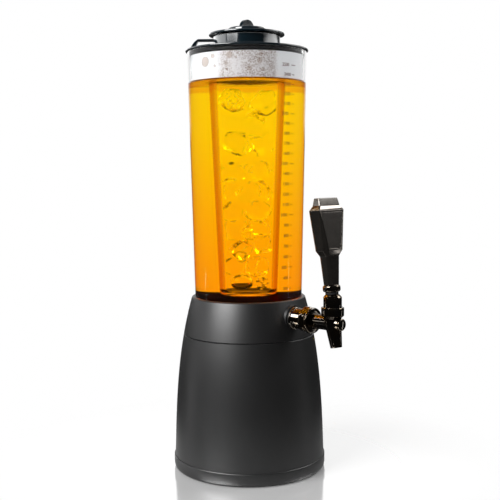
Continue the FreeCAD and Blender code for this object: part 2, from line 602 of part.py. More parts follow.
def outer_lid():
    """Lid of the vessel, with the raised neck that the ice tube hangs in, and a finger tab."""
    plug = lid_plug_radius()
    groove_top = VESSEL_TOP - SEAL_SETBACK
    groove_foot = groove_top - SEAL_HEIGHT
    plug_foot = VESSEL_TOP - LID_PLUG_DEPTH
    bore = NECK_RADIUS - NECK_WALL
    lid = turned([
        (bore, VESSEL_TOP),
        (plug - SEAL_GROOVE - PLUG_WALL, VESSEL_TOP),
        (plug - SEAL_GROOVE - PLUG_WALL, plug_foot),
        (plug, plug_foot),
        (plug, groove_foot),
        (plug - SEAL_GROOVE, groove_foot),
        (plug - SEAL_GROOVE, groove_top),
        (plug, groove_top),
        (plug, VESSEL_TOP),
        (LID_RADIUS - LID_EDGE_CHAMFER, VESSEL_TOP),
        (LID_RADIUS, VESSEL_TOP + LID_EDGE_CHAMFER),
        (LID_RADIUS, LID_TOP - LID_EDGE_CHAMFER),
        (LID_RADIUS - LID_EDGE_CHAMFER, LID_TOP),
        (NECK_RADIUS, LID_TOP),
        (NECK_RADIUS, NECK_TOP),
        (bore, NECK_TOP),
    ])
    return lid.fuse(finger_tab())


def finger_tab():
    """Arched strip from the lid's top to the neck, open underneath for a fingertip."""
    outer_z = LID_TOP + TAB_RISE
    inner_z = outer_z - TAB_THICKNESS
    foot_z = LID_TOP - LID_THICKNESS / 2
    root = NECK_RADIUS - NECK_WALL / 2
    start = LID_RADIUS - TAB_INSET
    bend = start - TAB_BEND_LENGTH
    middle = (start + bend) / 2
    outer_bend = [
        (start, foot_z),
        (middle + TAB_THICKNESS / 2, LID_TOP + TAB_RISE * TAB_OUTER_ARCH),
        (bend, outer_z),
    ]
    inner_bend = [
        (bend, inner_z),
        (middle - TAB_THICKNESS, LID_TOP + TAB_RISE * TAB_INNER_ARCH),
        (start - 2 * TAB_THICKNESS, foot_z),
    ]
    runs = [
        outer_bend,
        [outer_bend[-1], (root, outer_z)],
        [(root, outer_z), (root, inner_z)],
        [(root, inner_z), inner_bend[0]],
        inner_bend,
        [inner_bend[-1], outer_bend[0]],
    ]
    edges = []
    for run in runs:
        places = [FreeCAD.Vector(radius, -TAB_WIDTH / 2, z) for radius, z in run]
        if len(places) == 2:
            edges.append(Part.makeLine(*places))
        else:
            curve = Part.BSplineCurve()
            curve.interpolate(places)
            edges.append(curve.toShape())
    strip = Part.Face(Part.Wire(edges)).extrude(FreeCAD.Vector(0, TAB_WIDTH, 0))
    strip.rotate(FreeCAD.Vector(0, 0, 0), UP, TAB_DIRECTION)
    return strip


def lid_seal():
    rim = vessel_radius(VESSEL_TOP - SEAL_SETBACK - SEAL_HEIGHT) - VESSEL_WALL - FIT
    return plug_seal(lid_plug_radius(), VESSEL_TOP, rim)


def ice_tube():
    """Long closed tube that hangs by its flange from the outer lid's neck."""
    floor = TUBE_BOTTOM + TUBE_FLOOR
    return turned([
        (0, TUBE_BOTTOM),
        (TUBE_BOTTOM_RADIUS - TUBE_CORNER, TUBE_BOTTOM),
        (tube_radius(TUBE_BOTTOM + TUBE_CORNER), TUBE_BOTTOM + TUBE_CORNER),
        (tube_radius(NECK_TOP), NECK_TOP),
        (NECK_RADIUS - TUBE_FLANGE_INSET, NECK_TOP),
        (NECK_RADIUS - TUBE_FLANGE_INSET, TUBE_TOP),
        (tube_radius(TUBE_TOP) - TUBE_WALL, TUBE_TOP),
        (tube_radius(floor + TUBE_CORNER) - TUBE_WALL, floor + TUBE_CORNER),
        (tube_radius(floor) - TUBE_WALL - TUBE_CORNER, floor),
        (0, floor),
    ])


def inner_plug_radius():
    return tube_radius(TUBE_TOP - INNER_PLUG_DEPTH) - TUBE_WALL - INNER_PLUG_PLAY


def inner_lid():
    """Lid of the ice tube: rim, plug, low hub and a half-round grip."""
    plug = inner_plug_radius()
    groove_top = TUBE_TOP - SEAL_SETBACK
    groove_foot = groove_top - SEAL_HEIGHT
    plug_bore = plug - SEAL_GROOVE - PLUG_WALL
    hub_top = INNER_LID_TOP + HUB_HEIGHT
    lid = turned([
        (0, TUBE_TOP),
        (plug_bore, TUBE_TOP),
        (plug_bore, TUBE_TOP - INNER_PLUG_DEPTH),
        (plug, TUBE_TOP - INNER_PLUG_DEPTH),
        (plug, groove_foot),
        (plug - SEAL_GROOVE, groove_foot),
        (plug - SEAL_GROOVE, groove_top),
        (plug, groove_top),
        (plug, TUBE_TOP),
        (INNER_LID_RADIUS - LID_EDGE_CHAMFER, TUBE_TOP),
        (INNER_LID_RADIUS, TUBE_TOP + LID_EDGE_CHAMFER),
        (INNER_LID_RADIUS, INNER_LID_TOP - LID_EDGE_CHAMFER),
        (INNER_LID_RADIUS - LID_EDGE_CHAMFER, INNER_LID_TOP),
        (HUB_RADIUS, INNER_LID_TOP),
        (HUB_RADIUS, hub_top - HUB_CHAMFER),
        (HUB_RADIUS - HUB_CHAMFER, hub_top),
        (0, hub_top),
    ])
    disc_start = FreeCAD.Vector(0, FIN_THICKNESS / 2, hub_top)
    disc = Part.makeCylinder(FIN_RADIUS, FIN_THICKNESS, disc_start, FORWARD)
    corner = FreeCAD.Vector(-FIN_RADIUS, -FIN_THICKNESS / 2, hub_top - HUB_HEIGHT / 2)
    upper_half = Part.makeBox(2 * FIN_RADIUS, FIN_THICKNESS, FIN_RADIUS + HUB_HEIGHT / 2, corner, UP)
    return lid.fuse(disc.common(upper_half))


def inner_lid_seal():
    rim = tube_radius(TUBE_TOP - SEAL_SETBACK - SEAL_HEIGHT) - TUBE_WALL - FIT
    return plug_seal(inner_plug_radius(), TUBE_TOP, rim)


# ---------------------------------------------------------------- tap: shank and its seals
def tap_washer(reach0, radius, hole):
    """Flat soft washer on the tap's axis, from reach0 forwards."""
    disc = along_tap(radius, reach0, reach0 + WASHER_THICKNESS)
    return disc.cut(along_tap(hole, reach0, reach0 + WASHER_THICKNESS))


def saddle_gasket():
    """Soft spacer between the vessel's round wall and the flat back of the collar's boss."""
    start = TAP_PAD_REACH
    block = along_tap(WASHER_RADIUS, start, TAP_BOSS_INNER_REACH)
    return block.cut(along_tap(SHANK_RADIUS + SLIP, start, TAP_BOSS_INNER_REACH)).cut(vessel_blank(FIT))


def outer_washer():
    return tap_washer(SPOT_FACE_REACH, WASHER_RADIUS, SHANK_RADIUS + SLIP)


def inner_washer():
    return tap_washer(TAP_PAD_REACH - WASHER_THICKNESS, WASHER_RADIUS, SHANK_RADIUS + SLIP)


def shank_nut():
    front = TAP_PAD_REACH - WASHER_THICKNESS
    nut = hex_prism(SHANK_NUT_FLATS, front - SHANK_NUT_THICKNESS, front)
    return nut.cut(along_tap(SHANK_RADIUS + FIT, front - SHANK_NUT_THICKNESS, front))


def shank():
    """Threaded tube through the vessel and the collar, with a flange outside and a valve pocket."""
    flange = SPOT_FACE_REACH + WASHER_THICKNESS
    flange_front = flange + SHANK_FLANGE_THICKNESS
    pocket = SHANK_FRONT_REACH - VALVE_POCKET_DEPTH
    return tap_turned([
        (SHANK_REAR_REACH, SHANK_BORE),
        (SHANK_REAR_REACH, SHANK_RADIUS - SHANK_THREAD_CHAMFER),
        (SHANK_REAR_REACH + SHANK_THREAD_CHAMFER, SHANK_RADIUS),
        (flange, SHANK_RADIUS),
        (flange, SHANK_FLANGE_RADIUS),
        (flange_front - SHANK_THREAD_CHAMFER, SHANK_FLANGE_RADIUS),
        (flange_front, SHANK_FLANGE_RADIUS - SHANK_THREAD_CHAMFER),
        (flange_front, SHANK_NECK_RADIUS),
        (SHANK_FRONT_REACH, SHANK_NECK_RADIUS),
        (SHANK_FRONT_REACH, VALVE_POCKET_RADIUS),
        (pocket, VALVE_POCKET_RADIUS),
        (pocket, SHANK_BORE),
    ])


# ---------------------------------------------------------------- tap: faucet
def coupling_washer():
    return tap_washer(SHANK_FRONT_REACH, SHANK_NECK_RADIUS - SLIP, VALVE_POCKET_RADIUS)


def coupling_nut():
    """Hexagonal nut with a round front, which draws the faucet's flange onto the shank."""
    collar_start = COUPLING_FRONT_REACH - COUPLING_COLLAR_LENGTH
    half_flats = COUPLING_FLATS / 2
    corner_radius = half_flats + COUPLING_CORNER_STEP
    face_radius = half_flats - COUPLING_FACE_STEP
    collar_radius = half_flats + COUPLING_COLLAR_STEP
    limit = tap_turned([
        (COUPLING_REAR_REACH, 0),
        (COUPLING_REAR_REACH, face_radius),
        (COUPLING_REAR_REACH + COUPLING_CHAMFER, corner_radius),
        (collar_start - COUPLING_CHAMFER, corner_radius),
        (collar_start, face_radius),
        (collar_start, 0),
    ])
    body = hex_prism(COUPLING_FLATS, COUPLING_REAR_REACH, collar_start).common(limit)
    edge = SHANK_THREAD_CHAMFER
    front = tap_turned([
        (collar_start, 0),
        (collar_start, collar_radius - edge / 2),
        (collar_start + edge / 2, collar_radius),
        (COUPLING_FRONT_REACH - edge, collar_radius),
        (COUPLING_FRONT_REACH, collar_radius - edge),
        (COUPLING_FRONT_REACH, 0),
    ])
    thread = along_tap(SHANK_NECK_RADIUS + FIT, COUPLING_REAR_REACH, COUPLING_FRONT_REACH - COUPLING_LIP)
    hole = along_tap(BARREL_RADIUS + SLIP, COUPLING_REAR_REACH, COUPLING_FRONT_REACH)
    return body.fuse(front).cut(thread).cut(hole)


def spout_line():
    """Start of the leaning spout and its direction."""
    start = FreeCAD.Vector(0, -(LEVER_REACH - SPOUT_ROOT_SETBACK), TAP_HEIGHT + SPOUT_ROOT_RISE)
    tip = FreeCAD.Vector(0, -(LEVER_REACH + SPOUT_TIP_FORWARD), TAP_HEIGHT - SPOUT_DROP)
    return start, tip - start


def tap_body():
    """Faucet casting: flange, barrel, leaning spout, threaded head and a boss for the front plug."""
    flange_front = FAUCET_REAR_REACH + FAUCET_FLANGE_THICKNESS
    flange = along_tap(SHANK_NECK_RADIUS - SLIP, FAUCET_REAR_REACH, flange_front)
    barrel = along_tap(BARREL_RADIUS, FAUCET_REAR_REACH, LEVER_REACH)
    boss = along_tap(FRONT_BOSS_RADIUS, LEVER_REACH, FRONT_BOSS_REACH)
    root, line = spout_line()
    spout = Part.makeCone(SPOUT_ROOT_RADIUS, SPOUT_TIP_RADIUS, line.Length, root, line)
    shoulder_foot = FreeCAD.Vector(0, -LEVER_REACH, BONNET_FOOT - HEAD_SHOULDER_HEIGHT)
    shoulder_radius = HEAD_RADIUS - HEAD_SHOULDER_STEP
    shoulder = Part.makeCone(shoulder_radius, HEAD_RADIUS, HEAD_SHOULDER_HEIGHT, shoulder_foot, UP)
    head = upright(HEAD_RADIUS, BONNET_FOOT, HEAD_TOP, 0, -LEVER_REACH)
    ring_room = upright(BONNET_RADIUS + SLIP, BONNET_FOOT - FIT, HEAD_TOP, 0, -LEVER_REACH)
    casting = flange.fuse([barrel, boss, spout]).cut(ring_room).fuse([shoulder, head])
    bore = along_tap(VALVE_BORE, FAUCET_REAR_REACH, FRONT_BOSS_REACH)
    drop = SPOUT_ROOT_RISE / (SPOUT_ROOT_RISE + SPOUT_DROP)
    outlet = Part.makeCylinder(SPOUT_BORE, line.Length, root + line * drop, line)
    rest = FINGER_ANGLE - LEVER_LEAN
    passage = swing_slot(FINGER_RADIUS + LEVER_SLOT_PLAY, FINGER_LENGTH, rest, rest + LEVER_TRAVEL, False)
    return casting.cut([bore, outlet, passage])


def front_plug():
    """Screwed plug that closes the front of the valve's bore."""
    return tap_turned([
        (FRONT_BOSS_REACH - FRONT_PLUG_THREAD, 0),
        (FRONT_BOSS_REACH - FRONT_PLUG_THREAD, VALVE_BORE - FIT),
        (FRONT_BOSS_REACH, VALVE_BORE - FIT),
        (FRONT_BOSS_REACH, FRONT_BOSS_RADIUS),
        (FRONT_PLUG_REACH - FRONT_PLUG_CHAMFER, FRONT_BOSS_RADIUS),
        (FRONT_PLUG_REACH, FRONT_BOSS_RADIUS - FRONT_PLUG_CHAMFER),
        (FRONT_PLUG_REACH, 0),
    ])


def about_lever(points):
    """Turn (radius, height) points about the vertical line through the lever's pivot."""
    return turned(points, FreeCAD.Vector(0, -LEVER_REACH, 0), UP)


def ball_seat():
    """Low-friction ring under the lever's ball."""
    ring = about_lever([
        (SEAT_HOLE_TOP + SEAT_HOLE_FLARE, HEAD_TOP),
        (SEAT_RADIUS, HEAD_TOP),
        (SEAT_RADIUS, HEAD_TOP + SEAT_HEIGHT),
        (SEAT_HOLE_TOP, HEAD_TOP + SEAT_HEIGHT),
    ])
    return ring.cut(Part.makeSphere(BALL_RADIUS + FIT, PIVOT))


def bonnet_dome():
    """Domed housing that holds the lever's ball down, slotted for the lever's swing."""
    flange_top = BONNET_TOP - BONNET_LIP
    column = upright(DOME_RADIUS, flange_top, PIVOT_HEIGHT + DOME_SPHERE_RADIUS, 0, -LEVER_REACH)
    dome = column.common(Part.makeSphere(DOME_SPHERE_RADIUS, PIVOT))
    flange = upright(HEAD_RADIUS, HEAD_TOP, flange_top, 0, -LEVER_REACH)
    pocket = upright(SEAT_RADIUS + FIT, HEAD_TOP, HEAD_TOP + SEAT_HEIGHT, 0, -LEVER_REACH)
    cavity = Part.makeSphere(BALL_RADIUS + FIT, PIVOT)
    slot = swing_slot(STEM_RADIUS + LEVER_SLOT_PLAY, DOME_SPHERE_RADIUS + STEM_RADIUS, -LEVER_LEAN,
                      LEVER_TRAVEL - LEVER_LEAN, True)
    return flange.fuse(dome).cut([pocket, cavity, slot])


def bonnet_ring():
    """Round nut that clamps the dome onto the faucet's head."""
    lip_hole = DOME_RADIUS + SLIP
    lip_underside = BONNET_TOP - BONNET_LIP
    return about_lever([
        (HEAD_RADIUS + FIT, BONNET_FOOT),
        (BONNET_RADIUS - BONNET_FOOT_CHAMFER + FIT, BONNET_FOOT),
        (BONNET_RADIUS, BONNET_FOOT + BONNET_FOOT_CHAMFER),
        (BONNET_RADIUS, BONNET_TOP - BONNET_EDGE_CHAMFER),
        (BONNET_RADIUS - BONNET_EDGE_CHAMFER, BONNET_TOP),
        (lip_hole, BONNET_TOP),
        (lip_hole, lip_underside),
        (HEAD_RADIUS + FIT, lip_underside),
    ])


# ---------------------------------------------------------------- tap: lever and handle
def leaned(shape):
    """Place a shape that was made upright over the origin onto the leaning lever."""
    shape.rotate(FreeCAD.Vector(0, 0, 0), FreeCAD.Vector(1, 0, 0), -LEVER_LEAN)
    shape.translate(PIVOT)
    return shape


def lever():
    """Ball lever: stem up into the handle, ball in the dome, finger down into the valve's yoke."""
    origin = FreeCAD.Vector(0, 0, 0)
    angle = math.radians(FINGER_ANGLE)
    finger_line = FreeCAD.Vector(0, math.sin(angle), -math.cos(angle))
    stem = Part.makeCylinder(STEM_RADIUS, STEM_LENGTH, origin, UP)
    finger = Part.makeCone(FINGER_RADIUS, FINGER_NECK_RADIUS, FINGER_LENGTH, origin, finger_line)
    tip = Part.makeSphere(FINGER_RADIUS, finger_line * FINGER_LENGTH)
    return leaned(Part.makeSphere(BALL_RADIUS).fuse([stem, finger, tip]))


def handle_ferrule():
    """Rounded bead between the dome and the handle."""
    middle = (FERRULE_START + FERRULE_END) / 2
    hole = STEM_RADIUS + FIT
    return leaned(turned([
        (hole, FERRULE_START),
        [(FERRULE_END_RADIUS, FERRULE_START),
         (FERRULE_SHOULDER_RADIUS, FERRULE_START + FERRULE_SHOULDER),
         (FERRULE_RADIUS, middle),
         (FERRULE_SHOULDER_RADIUS, FERRULE_END - FERRULE_SHOULDER),
         (FERRULE_END_RADIUS, FERRULE_END)],
        (hole, FERRULE_END),
    ]))


def slot_wiper():
    """Soft ring under the bead, cupped over the dome's crown, that keeps its slot clean."""
    cup = DOME_SPHERE_RADIUS + WIPER_GAP
    low = math.sqrt(cup ** 2 - WIPER_RADIUS ** 2) - 1.0
    ring = turned([
        (STEM_RADIUS + FIT, low),
        (WIPER_RADIUS, low),
        (WIPER_RADIUS, FERRULE_START - FIT),
        (STEM_RADIUS + FIT, FERRULE_START - FIT),
    ])
    return leaned(ring.cut(Part.makeSphere(cup)))


def handle_insert():
    """Threaded brass insert in the handle's neck."""
    end = INSERT_START + INSERT_LENGTH
    return leaned(turned([
        (STEM_RADIUS + FIT, INSERT_START),
        (INSERT_RADIUS, INSERT_START),
        (INSERT_RADIUS, end),
        (STEM_RADIUS + FIT, end),
    ]))


def section(height, width, thickness, chamfer):
    """Closed eight-sided outline across the handle."""
    x, y = width / 2, thickness / 2
    corners = [
        (x - chamfer, -y), (x, -y + chamfer), (x, y - chamfer), (x - chamfer, y),
        (-x + chamfer, y), (-x, y - chamfer), (-x, -y + chamfer), (-x + chamfer, -y),
    ]
    places = [FreeCAD.Vector(cx, cy, height) for cx, cy in corners]
    return Part.makePolygon(places + [places[0]])


def tapered(start, start_section, end, end_section):
    """A solid with flat faces from one section to another, each at its distance from the pivot."""
    return Part.makeLoft([section(start, *start_section), section(end, *end_section)], True, True)


def panel_plate(side, margin, depth0, depth1):
    """A plate along the paddle's broad face, between two depths below it. side is -1 at the front."""
    low_width, low_thickness, low_chamfer = PADDLE_FOOT
    high_width, high_thickness, high_chamfer = PADDLE_HEAD
    foot = FreeCAD.Vector(0, side * low_thickness / 2, PADDLE_START)
    head = FreeCAD.Vector(0, side * high_thickness / 2, PADDLE_END)
    slope = (head - foot).normalize()
    outward = slope.cross(FreeCAD.Vector(1, 0, 0)) * side
    outward = outward if outward.y * side > 0 else outward * -1
    low = foot + slope * (PANEL_END_MARGIN + margin)
    high = head - slope * (PANEL_END_MARGIN + margin)
    low_half = low_width / 2 - low_chamfer - PANEL_MARGIN - margin
    high_half = high_width / 2 - high_chamfer - PANEL_MARGIN - margin
    across = FreeCAD.Vector(1, 0, 0)
    ring = [low - across * low_half, low + across * low_half, high + across * high_half,
            high - across * high_half]
    ring = [corner - outward * depth1 for corner in ring]
    return Part.Face(Part.makePolygon(ring + [ring[0]])).extrude(outward * (depth1 - depth0))


def handle_body():
    """Neck, flared foot, paddle and sloped shoulder in one moulding, recessed for its two panels."""
    body = tapered(FERRULE_END, NECK_FOOT, NECK_END, NECK_HEAD).fuse([
        tapered(NECK_END, NECK_HEAD, PADDLE_START, PADDLE_FOOT),
        tapered(PADDLE_START, PADDLE_FOOT, PADDLE_END, PADDLE_HEAD),
        tapered(PADDLE_END, PADDLE_HEAD, CAP_START, CAP_FOOT),
    ])
    bore = Part.makeCylinder(INSERT_RADIUS + FIT, INSERT_START + INSERT_LENGTH)
    recesses = [panel_plate(side, 0.0, -PANEL_RECESS, PANEL_RECESS) for side in (-1, 1)]
    return leaned(body.cut([bore] + recesses))


def handle_panel(side):
    return leaned(panel_plate(side, SLIP, PANEL_RECESS - PANEL_THICKNESS, PANEL_RECESS))


def handle_cap():
    """Raised block on top of the paddle's shoulder."""
    return leaned(tapered(CAP_START, CAP_FOOT, CAP_START + CAP_LENGTH, CAP_HEAD))


# ---------------------------------------------------------------- tap: sliding valve
def finger_rest_reach():
    """Reach of the finger's tip with the tap shut."""
    return LEVER_REACH - FINGER_LENGTH * math.sin(math.radians(FINGER_ANGLE - LEVER_LEAN))


def valve_shaft():
    """Plunger: seal flange at the rear, a square guide, and a yoke that the lever's finger moves."""
    half_slot = FINGER_RADIUS + FINGER_PLAY
    slot_rear = finger_rest_reach() - half_slot
    slot_front = finger_rest_reach() + half_slot
    flange_rear = FAUCET_REAR_REACH - FIT
    rod = along_tap(SHAFT_RADIUS, SHAFT_REAR_REACH, slot_rear - YOKE_WEB)
    flange = along_tap(SHAFT_FLANGE_RADIUS, flange_rear, flange_rear + SHAFT_FLANGE_THICKNESS)
    guide_side = GUIDE_WIDTH / 2
    guide_corner = FreeCAD.Vector(-guide_side, -GUIDE_REACH - GUIDE_LENGTH, TAP_HEIGHT - guide_side)
    guide = Part.makeBox(GUIDE_WIDTH, GUIDE_LENGTH, GUIDE_WIDTH, guide_corner, UP)
    guide = guide.common(along_tap(VALVE_BORE - FIT, GUIDE_REACH, GUIDE_REACH + GUIDE_LENGTH))
    yoke = along_tap(VALVE_BORE - FIT, slot_rear - YOKE_WEB, slot_front + YOKE_WEB)
    yoke_length = slot_front - slot_rear + 2 * YOKE_WEB
    block_corner = FreeCAD.Vector(-YOKE_HALF_WIDTH, -slot_front - YOKE_WEB, TAP_HEIGHT - VALVE_BORE)
    block = Part.makeBox(2 * YOKE_HALF_WIDTH, yoke_length, VALVE_BORE + YOKE_TOP, block_corner, UP)
    slot_half = YOKE_HALF_WIDTH - YOKE_SIDE
    slot_corner = FreeCAD.Vector(-slot_half, -slot_front, TAP_HEIGHT - VALVE_BORE)
    slot = Part.makeBox(2 * slot_half, slot_front - slot_rear, 2 * VALVE_BORE, slot_corner, UP)
    return rod.fuse([flange, guide, yoke.common(block)]).cut(slot)


def valve_seal():
    front = FAUCET_REAR_REACH - FIT
    disc = along_tap(SEAL_RADIUS, SEAL_REAR_REACH, front)
    return disc.cut(along_tap(SHAFT_RADIUS + FIT, SEAL_REAR_REACH, front))


def seal_nut():
    rear = SEAL_REAR_REACH - SEAL_NUT_THICKNESS
    nut = hex_prism(SEAL_NUT_FLATS, rear, SEAL_REAR_REACH)
    return nut.cut(along_tap(SHAFT_RADIUS + FIT, rear, SEAL_REAR_REACH))


# ---------------------------------------------------------------- export
NODES = {
    "anti_slip_pad": anti_slip_pad,
    "base_ring": base_ring,
    "base_plate": base_plate,
    "base_screws": base_screws,
    "skirt": skirt,
    "collar": collar,
    "collar_screws": collar_screws,
    "vessel_gasket": vessel_gasket,
    "vessel": vessel,
    "saddle_gasket": saddle_gasket,
    "outer_washer": outer_washer,
    "inner_washer": inner_washer,
    "shank": shank,
    "shank_nut": shank_nut,
    "coupling_washer": coupling_washer,
    "coupling_nut": coupling_nut,
    "tap_body": tap_body,
    "front_plug": front_plug,
    "ball_seat": ball_seat,
    "bonnet_dome": bonnet_dome,
    "bonnet_ring": bonnet_ring,
    "lever": lever,
    "handle_ferrule": handle_ferrule,
    "slot_wiper": slot_wiper,
    "handle_insert": handle_insert,
    "handle_body": handle_body,
    "handle_front_panel": lambda: handle_panel(-1),
    "handle_back_panel": lambda: handle_panel(1),
    "handle_cap": handle_cap,
    "valve_shaft": valve_shaft,
    "valve_seal": valve_seal,
    "seal_nut": seal_nut,
    "outer_lid": outer_lid,
    "lid_seal": lid_seal,
    "ice_tube": ice_tube,
    "inner_lid": inner_lid,
    "inner_lid_seal": inner_lid_seal,
}


def main():
    os.makedirs("parts", exist_ok=True)
    for name, make in NODES.items():
        shape = make()
        shape.exportStep(f"parts/{name}.step")
        box = shape.BoundBox
        print(f"{name:20s} solids {len(shape.Solids)}  volume {shape.Volume / 1000:8.2f} cm3  "
              f"z {box.ZMin:7.2f} to {box.ZMax:7.2f}  valid {shape.isValid()}")


main()
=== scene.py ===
# %% [markdown]
# # A beer tower, piece by piece
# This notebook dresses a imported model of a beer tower: a black stand, a clear vessel of beer with
# a tube of ice in it, two lids, and a tap with a paddle handle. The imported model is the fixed
# frame. Its solids stay where they are, and the pieces made here either stand for one of them or
# sit on what carries them. Blender gets everything in metres, with +Z up and the tap pointing
# along -Y. The heights and radii of the clear pieces are written in millimetres and divided by
# 1000 at the end.

# %% Load the frame
import json
import math
import random

import bmesh
import bpy
from mathutils import Matrix, Vector, noise


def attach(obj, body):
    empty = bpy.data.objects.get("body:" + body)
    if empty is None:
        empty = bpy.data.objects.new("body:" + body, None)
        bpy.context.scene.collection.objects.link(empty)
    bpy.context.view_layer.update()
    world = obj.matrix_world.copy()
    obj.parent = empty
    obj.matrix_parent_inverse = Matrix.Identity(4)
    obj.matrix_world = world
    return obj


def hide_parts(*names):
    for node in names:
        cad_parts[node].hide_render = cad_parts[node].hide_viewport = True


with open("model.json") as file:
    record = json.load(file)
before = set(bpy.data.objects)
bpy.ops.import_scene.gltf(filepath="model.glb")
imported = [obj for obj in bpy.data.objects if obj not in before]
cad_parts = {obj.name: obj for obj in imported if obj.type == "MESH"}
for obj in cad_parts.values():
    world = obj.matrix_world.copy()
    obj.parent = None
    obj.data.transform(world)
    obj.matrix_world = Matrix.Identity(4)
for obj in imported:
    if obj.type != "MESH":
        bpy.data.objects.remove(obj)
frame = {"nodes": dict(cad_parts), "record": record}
NODES = frame["nodes"]
RECORD = frame["record"]
SLOT_OF_NODE = {row["node"]: row["material_slot"] for row in RECORD["subparts"]}
BODY_OF_NODE = {
    node: body for body, members in RECORD["behaviour"]["bodies"].items() for node in members
}
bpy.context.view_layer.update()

# %% [markdown]
# ## Shader arithmetic
# A material is a small calculation: a noise decides where the surface is duller, a height decides
# how yellow the beer is. Written with nodes alone, that gets long. `Wire` holds the output of a
# node and overloads the arithmetic operators, so `1 - mask` or `0.2 + 0.1 * grain` adds the Math
# nodes that are needed. Every other node comes from `Recipe.node`, which sets the node's own
# settings first and its sockets after.

# %% Wires and recipes
class Wire:
    """A node's output that can be used in arithmetic."""

    def __init__(self, recipe, socket):
        self.recipe, self.socket = recipe, socket

    def math(self, operation, first, second):
        return self.recipe.node("ShaderNodeMath", {"operation": operation}, {0: first, 1: second})

    def __add__(self, other):
        return self.math("ADD", self, other)

    def __sub__(self, other):
        return self.math("SUBTRACT", self, other)

    def __rsub__(self, other):
        return self.math("SUBTRACT", other, self)

    def __mul__(self, other):
        return self.math("MULTIPLY", self, other)

    def __pow__(self, other):
        return self.math("POWER", self, other)

    __radd__ = __add__
    __rmul__ = __mul__

    def between(self, low, high, start=0.0, end=1.0):
        """This value, led from start to end while it goes from low to high, and held beyond."""
        inputs = {0: self, 1: low, 2: high, 3: start, 4: end}
        return self.recipe.node("ShaderNodeMapRange", {"interpolation_type": "SMOOTHSTEP"}, inputs)


class Recipe:
    """The node tree of a material or of the world."""

    def __init__(self, owner):
        owner.use_nodes = True
        self.tree = owner.node_tree
        self.tree.nodes.clear()

    def node(self, kind, settings=None, inputs=None, output=0):
        """Add a node, set it up, feed its sockets, and return one of its outputs as a wire."""
        node = self.tree.nodes.new(kind)
        for key, value in (settings or {}).items():
            if key == "stops":
                ramp = node.color_ramp
                while len(ramp.elements) < len(value):
                    ramp.elements.new(1.0)
                for element, (position, colour) in zip(ramp.elements, value):
                    element.position, element.color = position, colour
            else:
                setattr(node, key, value)
        for key, value in (inputs or {}).items():
            if isinstance(value, Wire):
                self.tree.links.new(value.socket, node.inputs[key])
            else:
                node.inputs[key].default_value = value
        return Wire(self, node.outputs[output]) if node.outputs else None

    def place(self):
        """Where a point is on the object, in metres."""
        return self.node("ShaderNodeTexCoord", output="Object")

    def axis(self, vector, letter):
        """One of a vector's three numbers."""
        return self.node("ShaderNodeSeparateXYZ", None, {0: vector}, "XYZ".index(letter))

    def along(self, vector, heading):
        """How far a vector reaches along a heading."""
        inputs = {0: vector, 1: heading}
        return self.node("ShaderNodeVectorMath", {"operation": "DOT_PRODUCT"}, inputs, "Value")

    def grain(self, scale, detail, roughness=0.5, vector=None):
        """Soft cloudy noise from 0 to 1."""
        vector = vector or self.place()
        inputs = {"Vector": vector, "Scale": scale, "Detail": detail, "Roughness": roughness}
        return self.node("ShaderNodeTexNoise", None, inputs)

    def hairlines(self, across, along, detail):
        """Noise drawn out along the Z axis, with this many cells to a metre each way."""
        inputs = {"Vector": self.place(), "Scale": (across, across, along)}
        return self.grain(1.0, detail, 0.6, self.node("ShaderNodeMapping", None, inputs))

    def cells(self, scale):
        """Distance to the nearest of many scattered points."""
        return self.node("ShaderNodeTexVoronoi", None, {"Vector": self.place(), "Scale": scale})

    def edge_on(self):
        """0 where a surface faces the eye, and 1 where it is seen from its edge."""
        return self.node("ShaderNodeLayerWeight", None, {"Blend": 0.5}, "Facing")

    def blend(self, factor, first, second):
        """One colour, led to another by a factor."""
        inputs = {0: factor, 6: first, 7: second}
        return self.node("ShaderNodeMix", {"data_type": "RGBA"}, inputs, 2)

    def bump(self, height, distance):
        """A normal that stands as if the surface had this height, times a distance in metres."""
        return self.node("ShaderNodeBump", None, {"Distance": distance, "Height": height})


def rgb(red, green, blue):
    """An opaque colour, as the sockets take it."""
    return (red, green, blue, 1.0)


def toned(colour, factor, dust=0.0):
    """A colour made lighter or darker, with a little grey added for dust."""
    return rgb(*(factor * part + dust for part in colour))


FINISHES = {}


def finish(name, paint):
    """Make a material. paint gets its recipe and returns the sockets of its surface shader."""
    material = bpy.data.materials.new(name)
    recipe = Recipe(material)
    surface = recipe.node("ShaderNodeBsdfPrincipled", None, paint(recipe))
    recipe.node("ShaderNodeOutputMaterial", None, {"Surface": surface})
    FINISHES[name] = material
    print("finish:", name, "with", len(recipe.tree.nodes), "nodes")


# %% [markdown]
# ## Moulded black plastic
# The stand is injection moulded ABS with a satin skin. Real satin plastic isn't even: it has a
# very fine grain from the mould, and broad patches where it is a little smoother from handling.
# The lids are the same kind of plastic polished to a gloss, so they get the same recipe with less
# roughness and almost no grain. The plug under the outer lid is left as it comes from the mould,
# which is matt.

# %% Plastics of the stand and the lids
def moulded(colour, roughness, spread, grain_size, grain_height, specular, coat):
    """Plastic whose roughness varies by spread, with a mould's grain. Grain is in metres."""
    def paint(recipe):
        patches = recipe.grain(16.0, 3.0)
        fine = recipe.grain(1.0 / grain_size, 2.0)
        lighter = toned(colour, 1.35)
        return {
            "Base Color": recipe.blend(patches.between(0.35, 0.7), rgb(*colour), lighter),
            "Roughness": roughness - spread / 2 + spread * patches + 0.03 * fine,
            "Specular IOR Level": specular,
            "Coat Weight": coat,
            "Coat Roughness": 0.12,
            "Normal": recipe.bump(fine, grain_height),
        }

    return paint


